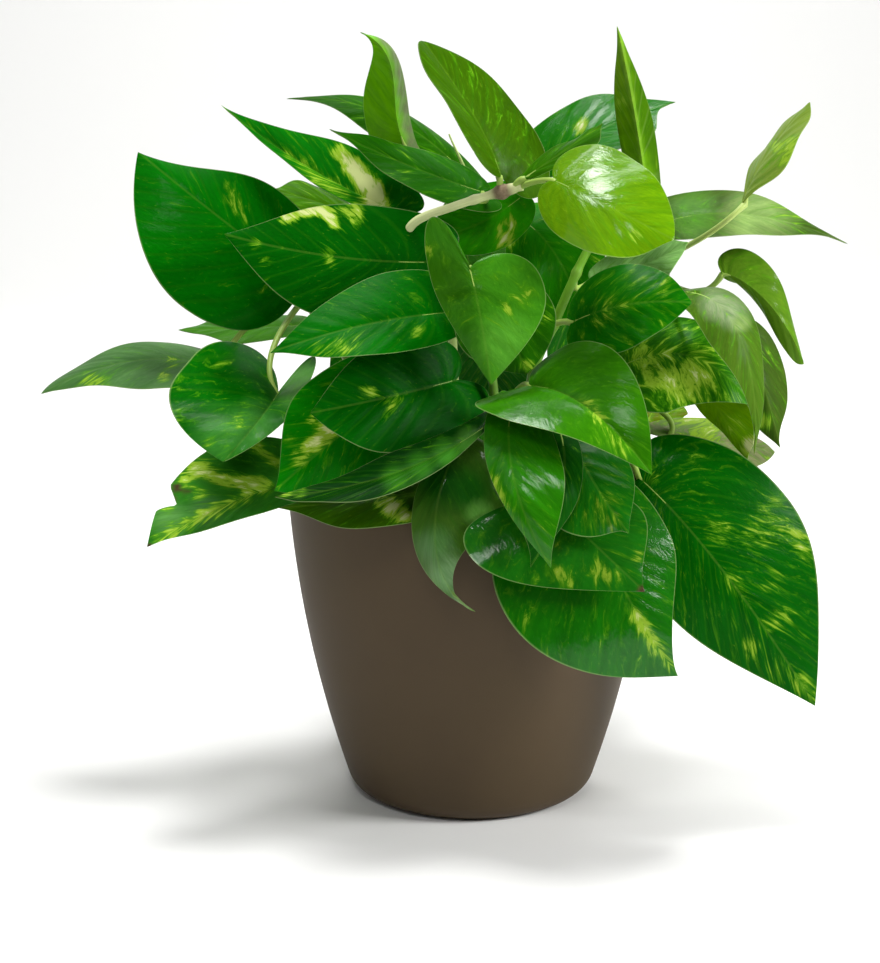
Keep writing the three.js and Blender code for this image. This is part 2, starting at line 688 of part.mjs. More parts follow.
// The wedge that a tear has lost, seen as a triangle and cut through from front to back
function tornAway(triangle) {
  const points = triangle.flatMap(([column, row]) => {
    return tearDepths.map((depth) => see([column, row, depth]));
  });
  return solidOf(new ConvexGeometry(points));
}

function leafSolid(leaf) {
  const blade = solidOf(bladeGeometry(leaf));
  const stalk = solidOf(stalkGeometry(leaf));
  const stem = solidOf(stemTube(stems[leaf.stem], clearance));
  const torn = leaf.tear ? blade.subtract(tornAway(leaf.tear)) : blade;
  const pieces = torn.add(stalk).subtract(stem).decompose();
  return pieces.sort((a, b) => b.volume() - a.volume())[0].simplify(mergeWithin);
}

// The soil: a plug that fills the planter, mounded towards the middle, with a hole for
// each stem
function soilSolid() {
  const edgeHeight = soilLevel - soilMound;
  const wall = insideProfile(clearance);
  const above = wall.findIndex((point) => point.y > edgeHeight);
  const [low, high] = [wall[above - 1], wall[above]];
  const edge = low.clone().lerp(high, (edgeHeight - low.y) / (high.y - low.y));
  const profile = [new THREE.Vector2(0, floorThickness + clearance), ...wall.slice(0, above), edge];
  for (let i = 1; i <= moundSteps; i += 1) {
    const share = i / moundSteps;
    const height = edgeHeight + soilMound * Math.sin((share * Math.PI) / 2);
    profile.push(new THREE.Vector2(edge.x * (1 - share), height));
  }
  let plug = solidOf(new THREE.LatheGeometry(profile, potSides).rotateX(Math.PI / 2));
  Object.values(stems).forEach((stem) => {
    plug = plug.subtract(solidOf(stemTube(stem, clearance)));
  });
  return plug.simplify(mergeWithin);
}

function finish(colour, roughness) {
  return new THREE.MeshStandardMaterial({ color: colour, roughness, metalness: 0 });
}

const plant = new THREE.Group();

function place(name, geometry, material) {
  const mesh = new THREE.Mesh(geometry, material);
  mesh.name = name;
  plant.add(mesh);
}

place('pot', geometryOf(solidOf(planterGeometry())), finish(potBrown, 0.75));
place('potting_soil', geometryOf(soilSolid()), finish(soilBrown, 1));
Object.entries(stems).forEach(([name, stem]) => {
  place(name, geometryOf(solidOf(stemTube(stem, 0))), finish(stemGreen, 0.5));
});
Object.entries(leaves).forEach(([name, leaf], i) => {
  const grown = {
    ...leaf,
    rib: leaf.rib.map(see),
    edges: leaf.edges.map(see),
    via: leaf.via ? see(leaf.via) : undefined,
    lobe: leaf.lobe ?? [0.1, 0.1],
    blunt: leaf.blunt ?? [0.15, 0.15],
    phase: i * waveShiftOfLeaf,
  };
  place(name, geometryOf(leafSolid(grown)), finish(leaf.colour, 0.35));
});

export default plant;
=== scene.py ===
# Potted pothos plant: a tapered planter of moulded plastic with potting soil, the leafy
# stems of several cuttings, and heart-shaped leaves with cream and yellow streaks.
# Shapes are worked out in millimetres and become metres when their mesh is made.

import bpy
import numpy as np
from mathutils import Matrix, Vector


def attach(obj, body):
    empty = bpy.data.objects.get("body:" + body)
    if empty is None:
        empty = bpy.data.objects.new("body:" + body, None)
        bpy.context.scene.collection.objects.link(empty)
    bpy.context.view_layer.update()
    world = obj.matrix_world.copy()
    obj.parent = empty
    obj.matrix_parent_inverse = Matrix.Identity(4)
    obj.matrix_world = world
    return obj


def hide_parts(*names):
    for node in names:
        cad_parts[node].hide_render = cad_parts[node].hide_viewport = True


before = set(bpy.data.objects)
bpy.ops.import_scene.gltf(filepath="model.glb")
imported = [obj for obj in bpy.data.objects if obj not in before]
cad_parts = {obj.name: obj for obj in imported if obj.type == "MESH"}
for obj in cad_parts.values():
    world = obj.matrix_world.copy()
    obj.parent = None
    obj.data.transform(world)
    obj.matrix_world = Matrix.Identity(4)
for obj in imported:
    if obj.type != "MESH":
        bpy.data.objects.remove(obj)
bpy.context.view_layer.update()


# Camera
# It stands where the photograph was taken from, a metre in front of the planter and a
# little above the leaves. Places on the plant are given as seen from there: a column and
# a row in an 880 by 963 frame, with the distance in mm behind the planter's axis.
eye = np.array([0.0, -1000.0, 372.4])
looked_at = np.array([-15.6, 0.0, 156.1])
focal_pixels = 2071.9
frame_size = np.array([880, 963])


def unit(vectors):
    """Vectors divided by their lengths."""
    return vectors / np.linalg.norm(vectors, axis=-1, keepdims=True)


forward = unit(looked_at - eye)
rightward = unit(np.cross(forward, [0, 0, 1]))
upward = np.cross(rightward, forward)


def see(places):
    """Point in mm for (column, row, depth): the ray through the pixel, cut off at the depth."""
    column, row, depth = np.moveaxis(np.asarray(places, float), -1, 0)
    ray = (focal_pixels * forward
           + (column - frame_size[0] / 2)[..., None] * rightward
           + (frame_size[1] / 2 - row)[..., None] * upward)
    return eye + ray * ((depth - eye[1]) / ray[..., 1])[..., None]


def seen(points):
    """Column and row of a point in mm: its offsets from the view's axis over its distance."""
    offset = points - eye
    distance = offset @ forward
    column = frame_size[0] / 2 + focal_pixels * (offset @ rightward) / distance
    row = frame_size[1] / 2 - focal_pixels * (offset @ upward) / distance
    return column, row


camera_data = bpy.data.cameras.new("photograph_view")
camera_data.sensor_fit = "VERTICAL"
camera_data.sensor_height = 36
camera_data.lens = focal_pixels * camera_data.sensor_height / frame_size[1]
camera = bpy.data.objects.new("photograph_view", camera_data)
bpy.context.scene.collection.objects.link(camera)
camera.location = eye / 1000
axes = np.stack([rightward, upward, -forward], axis=1)
camera.rotation_mode = "QUATERNION"
camera.rotation_quaternion = Matrix(axes.tolist()).to_quaternion()
bpy.context.scene.camera = camera


# Planter
# A round tapered planter of brown-grey polypropylene, injection moulded in one piece, with
# a flat base, a rounded foot, slightly bowed walls and a plain rounded lip.
rim_radius = 90.7
pot_height = 158
foot_radius = 49.5
foot_rounding = 13.3
wall_bow = 0.7
wall_thickness = 3
floor_thickness = 4
lip_rounding = 1.4
flat_share = 0.96
wall_steps = 24
foot_steps = 10
lip_steps = 6
pot_sides = 128
wall_slope = np.arctan2((rim_radius - foot_radius - foot_rounding) * (1 + wall_bow), pot_height)


def linear(code):
    """Linear colour of an sRGB hex code: the low end divided, the rest raised to 2.4."""
    value = np.array([int(code[i:i + 2], 16) for i in (1, 3, 5)]) / 255
    value = np.where(value <= 0.04045, value / 12.92, ((value + 0.055) / 1.055) ** 2.4)
    return (*value.tolist(), 1.0)


def add_node(tree, kind, inputs=None, **settings):
    """A node with its settings, whose inputs are set to values or linked to sockets."""
    made = tree.nodes.new(kind)
    for name, value in settings.items():
        setattr(made, name, value)
    for name, value in (inputs or {}).items():
        if isinstance(value, bpy.types.NodeSocket):
            tree.links.new(value, made.inputs[name])
        else:
            made.inputs[name].default_value = value
    return made


def start_material(name):
    """An empty node material and its tree."""
    made = bpy.data.materials.new(name)
    made.use_nodes = True
    made.node_tree.nodes.clear()
    return made, made.node_tree


def smooth_mesh(name, vertices, faces, sharp_from=0.9):
    """An object in metres from points in mm, shaded smooth up to an angle in radians."""
    mesh = bpy.data.meshes.new(name)
    mesh.from_pydata(vertices / 1000, [], faces)
    mesh.validate()
    mesh.polygons.foreach_set("use_smooth", np.ones(len(mesh.polygons), bool))
    mesh.set_sharp_from_angle(angle=sharp_from)
    piece = bpy.data.objects.new(name, mesh)
    bpy.context.scene.collection.objects.link(piece)
    return piece


def wall_profile(share, inset):
    """Radius and height up the wall: a straight taper plus a bow that peaks half way."""
    start_radius = foot_radius + foot_rounding * np.cos(wall_slope)
    start_height = foot_rounding * (1 - np.sin(wall_slope))
    bowed = share + wall_bow * share * (1 - share)
    radius = start_radius + (rim_radius - start_radius) * bowed
    height = start_height + (pot_height - lip_rounding - start_height) * share
    return np.stack([radius - inset, height], axis=1)


def rounded(centre, radius, start, stop, steps):
    """Profile points on an arc: centre plus radius times cosine and sine of the angle."""
    angle = np.linspace(start, stop, steps)
    return np.array(centre) + radius * np.stack([np.cos(angle), np.sin(angle)], axis=1)


def joined(rings, poles):
    """Vertices and faces of rings joined in their order, each end closed by a fan to a pole."""
    count, sides = rings.shape[:2]
    k = np.arange(sides)
    after = (k + 1) % sides
    row = sides * np.arange(count - 1)[:, None]
    quads = np.stack([row + k, row + after, row + sides + after, row + sides + k], axis=-1)
    total = count * sides
    last = total - sides
    low = np.stack([np.full(sides, total), after, k], axis=-1)
    high = np.stack([np.full(sides, total + 1), last + k, last + after], axis=-1)
    vertices = np.concatenate([rings.reshape(-1, 3), poles])
    return vertices, quads.reshape(-1, 4).tolist() + low.tolist() + high.tolist()


def turned(profile, sides):
    """Vertices and faces of a profile turned round the Z axis: radius times cosine and sine of
    the angle, at the profile's height, from a pole on the axis to another."""
    angle = np.linspace(0, 2 * np.pi, sides, endpoint=False)
    radius = profile[1:-1, :1]
    height = np.broadcast_to(profile[1:-1, 1:], (len(radius), sides))
    rings = np.stack([radius * np.cos(angle), radius * np.sin(angle), height], axis=-1)
    return joined(rings, [[0, 0, profile[0, 1]], [0, 0, profile[-1, 1]]])


up_wall = np.linspace(0, 1, wall_steps)
lip_height = pot_height - lip_rounding
outer_lip = (rim_radius - lip_rounding, lip_height)
inner_lip = (rim_radius - wall_thickness + lip_rounding, lip_height)
outside = np.concatenate([
    [[0, 0], [foot_radius * flat_share, 0]],
    rounded((foot_radius, foot_rounding), foot_rounding, -np.pi / 2, -wall_slope, foot_steps),
    wall_profile(up_wall[1:-1], 0),
    rounded(outer_lip, lip_rounding, 0, np.pi / 2, lip_steps)])
inside = np.concatenate([
    rounded(inner_lip, lip_rounding, np.pi / 2, np.pi, lip_steps - 1),
    wall_profile(up_wall[::-1][1:], wall_thickness),
    [[foot_radius, floor_thickness], [0, floor_thickness]]])
planter = smooth_mesh("moulded_planter", *turned(np.concatenate([outside, inside]), pot_sides))

# Matt moulded polypropylene: the mould was spark-eroded, so the brown-grey skin has a fine
# even grain of about 0.5 mm that scatters the light, and faint cloudy flow marks.
grain_size = 0.0005
flow_size = 0.045
polypropylene, tree = start_material("matt_moulded_polypropylene")
place = add_node(tree, "ShaderNodeTexCoord").outputs["Object"]
cloud = add_node(tree, "ShaderNodeTexNoise", {
    "Vector": place, "Scale": 1 / flow_size, "Detail": 3.0})
skin = add_node(tree, "ShaderNodeMix", {
    "Factor": cloud.outputs["Fac"], "A": linear("#463825"), "B": linear("#4f412c")},
    data_type="RGBA")
grain = add_node(tree, "ShaderNodeTexNoise", {
    "Vector": place, "Scale": 1 / grain_size, "Detail": 2.0})
dull = add_node(tree, "ShaderNodeMapRange", {
    "Value": cloud.outputs["Fac"], "To Min": 0.56, "To Max": 0.66})
bump = add_node(tree, "ShaderNodeBump", {
    "Height": grain.outputs["Fac"], "Strength": 0.12, "Distance": 0.0003})
shader = add_node(tree, "ShaderNodeBsdfPrincipled", {
    "Base Color": skin.outputs["Result"], "Roughness": dull.outputs["Result"], "IOR": 1.49,
    "Specular IOR Level": 0.25, "Normal": bump.outputs["Normal"]})
add_node(tree, "ShaderNodeOutputMaterial", {"Surface": shader.outputs["BSDF"]})
planter.data.materials.append(polypropylene)
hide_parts("pot")
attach(planter, "root")


# Potting soil
# Dark peat-based potting mix that fills the planter to 15 mm under its lip, pressed in by
# hand round the cuttings, so its top is mounded and lumpy.
soil_level = 143
soil_mound = 4
soil_gap = 0.3
soil_rings = 46
soil_sides = 150
lump_size = 26
lump_height = 1.5
lump_octaves = 4
lump_finer = 1.9
lump_lower = 1.5
lump_swing = 1.6
lump_margin = 4
settling = 1.2
edge_height = soil_level - soil_mound
wall = wall_profile(up_wall, wall_thickness + soil_gap)
edge_radius = np.interp(edge_height, wall[:, 1], wall[:, 0])
buried = wall[wall[:, 1] < edge_height]
inward = np.linspace(0, 1, soil_rings)[:, None]
rise = soil_mound * np.sin(inward * np.pi / 2)
top = np.concatenate([edge_radius * (1 - inward), edge_height + rise], axis=1)
bottom = [[0, floor_thickness + soil_gap], [foot_radius - soil_gap, floor_thickness + soil_gap]]
soil_vertices, soil_faces = turned(np.concatenate([bottom, buried, top]), soil_sides)


def lumps(points, seed):
    """Height of a lumpy surface, about -1 to 1: for each octave, finer and lower than the one
    before by a fixed ratio, the product of three sine waves in turned directions."""
    draw = np.random.default_rng(seed)
    height = np.zeros(len(points))
    for octave in range(lump_octaves):
        turn = draw.uniform(0, np.pi, 3)
        shift = draw.uniform(0, 6, 3)
        scale = 2 * np.pi * lump_finer ** octave / lump_size
        waves = [np.sin(scale * (points[:, 0] * np.cos(a) + points[:, 1] * np.sin(a)) + b)
                 for a, b in zip(turn, shift)]
        height += waves[0] * waves[1] * waves[2] / lump_lower ** octave
    return height / lump_swing


on_top = soil_vertices[:, 2] > edge_height - 0.01
from_wall = edge_radius - np.hypot(soil_vertices[:, 0], soil_vertices[:, 1])
change = lumps(soil_vertices, seed=3) * lump_height - settling
soil_vertices[:, 2] += on_top * np.clip(from_wall / lump_margin, 0, 1) * change
soil = smooth_mesh("peat_potting_mix", soil_vertices, soil_faces, sharp_from=2.5)

# Moist peat with bark crumbs: nearly black brown, quite without gloss, with lighter crumbs
# of about 4 mm, damp patches, 60 to a metre, and a crumbly relief of a millimetre or two.
crumb_size = 0.004
damp_patches = 60.0
peat, tree = start_material("moist_peat_potting_mix")
place = add_node(tree, "ShaderNodeTexCoord").outputs["Object"]
crumbs = add_node(tree, "ShaderNodeTexVoronoi", {"Vector": place, "Scale": 1 / crumb_size})
damp = add_node(tree, "ShaderNodeTexNoise", {
    "Vector": place, "Scale": damp_patches, "Detail": 6.0, "Roughness": 0.7})
kind = add_node(tree, "ShaderNodeSeparateColor", {"Color": crumbs.outputs["Color"]})
pale = add_node(tree, "ShaderNodeMapRange", {
    "Value": kind.outputs["Red"], "From Min": 0.82, "From Max": 0.95, "To Max": 0.8})
dark = add_node(tree, "ShaderNodeMix", {
    "Factor": damp.outputs["Fac"], "A": linear("#1a110b"), "B": linear("#46321f")},
    data_type="RGBA")
brown = add_node(tree, "ShaderNodeMix", {
    "Factor": pale.outputs["Result"], "A": dark.outputs["Result"], "B": linear("#6d5238")},
    data_type="RGBA")
bump = add_node(tree, "ShaderNodeBump", {
    "Height": crumbs.outputs["Distance"], "Strength": 0.9, "Distance": 0.0015})
bump = add_node(tree, "ShaderNodeBump", {
    "Height": damp.outputs["Fac"], "Strength": 0.7, "Distance": 0.002,
    "Normal": bump.outputs["Normal"]})
shader = add_node(tree, "ShaderNodeBsdfPrincipled", {
    "Base Color": brown.outputs["Result"], "Roughness": 0.95, "Normal": bump.outputs["Normal"]})
add_node(tree, "ShaderNodeOutputMaterial", {"Surface": shader.outputs["BSDF"]})
soil.data.materials.append(peat)
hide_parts("potting_soil")
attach(soil, "root")


# Stems
# Vines of the cuttings: round fleshy green stems that root in the soil and carry a leaf
# at each node, where the stem is a little thicker and ringed by a brown scar. The one at
# the back ends in a young leaf that is still rolled up into a spike.
stem_radius = 2.6
stem_tip_radius = 1.7
spike_tip_radius = 0.4
spike_narrowing = 0.4
foot_depth = 24
collar_height = 6
node_swelling = 0.5
node_length = 2.2
scar_swelling = 1.5
scar_length = 4.0
node_cork = 0.1
scar_cork = 1.6
stem_rings = 150
stem_sides = 20
stems = {
    "stem_main": dict(
        foot=[-30, -2], path=[[400, 330, -22], [403, 262, -26], [412, 225, -38], [455, 206, -48],
            [497, 193, -52], [522, 186, -55]],
        green="#ecf4b4", scar=0.885, nodes=[0.34, 0.46, 0.78, 0.88, 0.95, 1.0]),
    "stem_right": dict(
        foot=[30, -12], path=[[532, 377, -36], [555, 322, -39], [571, 285, -38], [588, 250, -34],
            [612, 218, -26], [636, 200, -24]],
        green="#6ca426", nodes=[0.3, 0.42, 0.62, 0.86, 1.0]),
    "stem_left": dict(
        foot=[-56, 4], path=[[352, 372, -6], [322, 318, -6], [304, 298, -6], [318, 262, 0],
            [352, 232, 8]],
        green="#6f8a32", nodes=[0.6, 0.66, 0.72, 0.86, 1.0]),
    "stem_centre": dict(
        foot=[-2, -42], path=[[494, 420, -50], [488, 345, -50], [480, 285, -54]],
        green="#5f8a2a", nodes=[0.2, 0.34, 0.46, 0.86, 1.0]),
    "stem_front_right": dict(
        foot=[44, -38], path=[[580, 462, -54], [598, 430, -48], [612, 400, -42]],
        green="#6a9434", nodes=[0.2, 0.3, 0.45, 0.6, 0.9]),
    "stem_back_right": dict(
        foot=[52, 16], path=[[600, 385, 18], [640, 330, 14], [664, 280, 6], [672, 246, -2]],
        green="#7a9a3c", nodes=[0.25, 0.3, 0.4, 0.5, 0.56, 0.62, 0.72, 0.8, 0.95, 1.0]),
    "stem_front_left": dict(
        foot=[-46, -34], path=[[398, 440, -48], [378, 412, -46], [368, 380, -40]],
        green="#5f8a2a", nodes=[0.4, 0.5, 0.6, 0.9, 1.0]),
    "stem_back": dict(
        foot=[-8, 40], path=[[452, 330, 36], [446, 262, 32], [456, 222, 24], [468, 184, 14],
            [449, 134, 8]],
        spike=0.82, green="#c6dc86", nodes=[0.27, 0.35, 0.42, 0.5, 0.5, 0.56, 0.62, 0.66, 0.72]),
}


def stem_points(stem):
    """The points a stem passes: buried foot, collar just above the soil, then seen points."""
    x, y = stem["foot"]
    low = [[x, y, soil_level - foot_depth], [x, y, soil_level + collar_height]]
    return np.concatenate([low, see(stem["path"])])


def smooth_line(points, share):
    """Centripetal Catmull-Rom curve: knots spaced by the root of the distance, a cubic between."""
    last = len(points) - 1
    ends = [2 * points[0] - points[1], 2 * points[-1] - points[-2]]
    padded = np.concatenate([ends[:1], points, ends[1:]])
    place = np.clip(share, 0, 1) * last
    i = np.minimum(place.astype(int), last - 1)
    t = (place - i)[:, None]
    p0, p1, p2, p3 = (padded[i + k] for k in range(4))
    d0, d1, d2 = (np.sqrt(np.linalg.norm(b - a, axis=1, keepdims=True))
                  for a, b in ((p0, p1), (p1, p2), (p2, p3)))
    leave = (p1 - p0) / d0 - (p2 - p0) / (d0 + d1) + (p2 - p1) / d1
    arrive = (p2 - p1) / d1 - (p3 - p1) / (d1 + d2) + (p3 - p2) / d2
    leave, arrive = leave * d1, arrive * d1
    return (p1 + leave * t + (3 * (p2 - p1) - 2 * leave - arrive) * t ** 2
            + (2 * (p1 - p2) + leave + arrive) * t ** 3)


def walked(path):
    """The mm walked along a path at each of its points: the steps' lengths added up."""
    return np.append(0, np.cumsum(np.linalg.norm(np.diff(path, axis=0), axis=1)))


def tube(path, radii, sides):
    """Rings round a path, each square to it and of its own radius, closed at both ends.

    Returns vertices, faces and each vertex's grain: cosine and sine of its place round the
    path and the mm along it.
    """
    heading = unit(np.gradient(path, axis=0))
    level = np.linalg.svd(heading)[2][-1]
    side = unit(level - (heading @ level)[:, None] * heading)
    other = np.cross(heading, side)
    angle = np.linspace(0, 2 * np.pi, sides, endpoint=False)
    outward = np.cos(angle)[:, None] * side[:, None] + np.sin(angle)[:, None] * other[:, None]
    rings = path[:, None] + radii[:, None, None] * outward
    length = walked(path)
    grain = np.stack(np.broadcast_arrays(np.cos(angle), np.sin(angle), length[:, None]), axis=-1)
    grain = np.concatenate([grain.reshape(-1, 3), [[0, 0, 0], [0, 0, length[-1]]]])
    return *joined(rings, path[[0, -1]]), grain


def give(piece, name, values):
    """Keeps what each vertex of a piece has, under a name that its material reads: one number,
    a vector of three or a linear colour of four."""
    kind, field = {1: ("FLOAT", "value"), 3: ("FLOAT_VECTOR", "vector"),
                   4: ("FLOAT_COLOR", "color")}[np.size(values) // len(values)]
    layer = piece.data.attributes.new(name, kind, "POINT")
    layer.data.foreach_set(field, np.ascontiguousarray(values, dtype=np.float32).ravel())


# Fresh vine tissue: a pale yellow-green skin with fine lengthwise streaks about a millimetre
# apart, half glossy with sap under it, and dry brown cork, flecked 900 to a metre, at nodes.
fibre_turn = 0.45
fibre_length = 30
bark_flecks = 900.0
vine, tree = start_material("fresh_vine_stem")
place = add_node(tree, "ShaderNodeTexCoord").outputs["Object"]
grain = add_node(tree, "ShaderNodeAttribute", attribute_name="grain")
stretched = add_node(tree, "ShaderNodeMapping", {
    "Vector": grain.outputs["Vector"],
    "Scale": (1 / fibre_turn, 1 / fibre_turn, 1 / fibre_length)})
streaks = add_node(tree, "ShaderNodeTexNoise", {
    "Vector": stretched.outputs["Vector"], "Scale": 1.0})
cork = add_node(tree, "ShaderNodeAttribute", attribute_name="cork")
fleck = add_node(tree, "ShaderNodeTexNoise", {
    "Vector": place, "Scale": bark_flecks, "Detail": 3.0})
own = add_node(tree, "ShaderNodeAttribute", attribute_name="green")
light = add_node(tree, "ShaderNodeMix", {
    "Factor": streaks.outputs["Fac"], "A": (0.82, 0.85, 0.72, 1), "B": (1.16, 1.14, 1.2, 1)},
    data_type="RGBA")
green = add_node(tree, "ShaderNodeMix", {
    "Factor": 1.0, "A": own.outputs["Color"], "B": light.outputs["Result"]},
    data_type="RGBA", blend_type="MULTIPLY")
bark = add_node(tree, "ShaderNodeMix", {
    "Factor": fleck.outputs["Fac"], "A": linear("#6f5a42"), "B": linear("#a8957a")},
    data_type="RGBA")
both = add_node(tree, "ShaderNodeMix", {
    "Factor": cork.outputs["Fac"], "A": green.outputs["Result"], "B": bark.outputs["Result"]},
    data_type="RGBA")
rough = add_node(tree, "ShaderNodeMapRange", {
    "Value": cork.outputs["Fac"], "To Min": 0.42, "To Max": 0.85})
bump = add_node(tree, "ShaderNodeBump", {
    "Height": streaks.outputs["Fac"], "Strength": 0.2, "Distance": 0.0003})
shader = add_node(tree, "ShaderNodeBsdfPrincipled", {
    "Base Color": both.outputs["Result"], "Roughness": rough.outputs["Result"],
    "Specular IOR Level": 0.3, "Normal": bump.outputs["Normal"]})
add_node(tree, "ShaderNodeOutputMaterial", {"Surface": shader.outputs["BSDF"]})

share = np.linspace(0, 1, stem_rings)
for name, stem in stems.items():
    path = smooth_line(stem_points(stem), share)
    radii = stem_radius + (stem_tip_radius - stem_radius) * share
    if "spike" in stem:
        up_spike = np.clip((share - stem["spike"]) / (1 - stem["spike"]), 0, 1)
        radii = radii + (spike_tip_radius - radii) * up_spike ** spike_narrowing
    length = walked(path)
    nodes_at = np.interp(stem["nodes"], share, length)[:, None]
    near_node = np.exp(-((length - nodes_at) / node_length) ** 2).max(axis=0)
    scar = np.zeros(stem_rings)
    if "scar" in stem:
        scar = np.exp(-((length - np.interp(stem["scar"], share, length)) / scar_length) ** 2)
    thick = radii + node_swelling * near_node + scar_swelling * scar
    vertices, faces, grain = tube(path, thick, stem_sides)
    piece = smooth_mesh(name.replace("stem", "vine"), vertices, faces)
    corky = np.clip(node_cork * near_node + scar_cork * scar, 0, 1)
    give(piece, "cork", np.append(np.repeat(corky, stem_sides), [0, 0]))
    give(piece, "green", np.tile(linear(stem["green"]), (len(vertices), 1)))
    give(piece, "grain", grain)
    piece.data.materials.append(vine)
    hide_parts(name)
    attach(piece, "root")


# Leaves
# Heart-shaped pothos leaves, each a thin fleshy blade with a waxy upper side and a dull
# underside. It grows from a node on a round stalk that sheathes the stem at its foot and
# runs on under the blade as the midrib.
stalk_radius = 1.3
stalk_end_radius = 0.25
stalk_green = "#a0bf58"
stalk_arch = 0.16
sheath_radius = 2.1
sheath_share = 0.85
joint_swelling = 0.35
joint_length = 4
run_on = np.linspace(0.02, 0.16, 6)
stalk_rings = 26
stalk_sides = 12

# Blade: its thickness, the handles of its outline, its bulge and the waves of its margins,
# and its grid of points, which gather at the notch and at the midrib
blade_thickness = 0.6
margin_thickness = 0.3
widest_at = 0.3
lobe_share = 0.4
lobe_back = (-1.6, -1.1)
notch_width = 0.28
past_widest = 0.3
tip_from, tip_blunted = 0.8, 0.12
tip_width, tip_widened = 0.1, 0.7
bulge_share = 0.12
wave_height = 4
waves_along = 2.2
other_side_wave = 2.1
next_leaf_wave = 1.7
row_gathering = 1.7
strip_gathering = 1.15
blade_rows = 76
blade_strips = 11
rib_samples = 30
small_share = 0.001

# Relief and finish: midrib and side veins, how fast they fade to the ends, how far coloured
# places reach, the painted shading among them, in their own sizes, and the wax of a leaf that
# names none and its paleness, which is painted light: streaks made brighter on leaves in
# shade and darker on lit ones
rib_height = 0.55
rib_width = 1.3
groove_depth = 0.35
vein_spacing = 7.5
vein_relief = 0.1
vein_slant = 0.4
quilt_fade = 6
end_fade = 8
mark_end = 1.7
painted_shade_end = 1.5
dry_end = 1.4
next_leaf_streaks = 41
rib_wax_loss = 0.4
leaf_wax = 0.03
painted_streak_light = 0.9
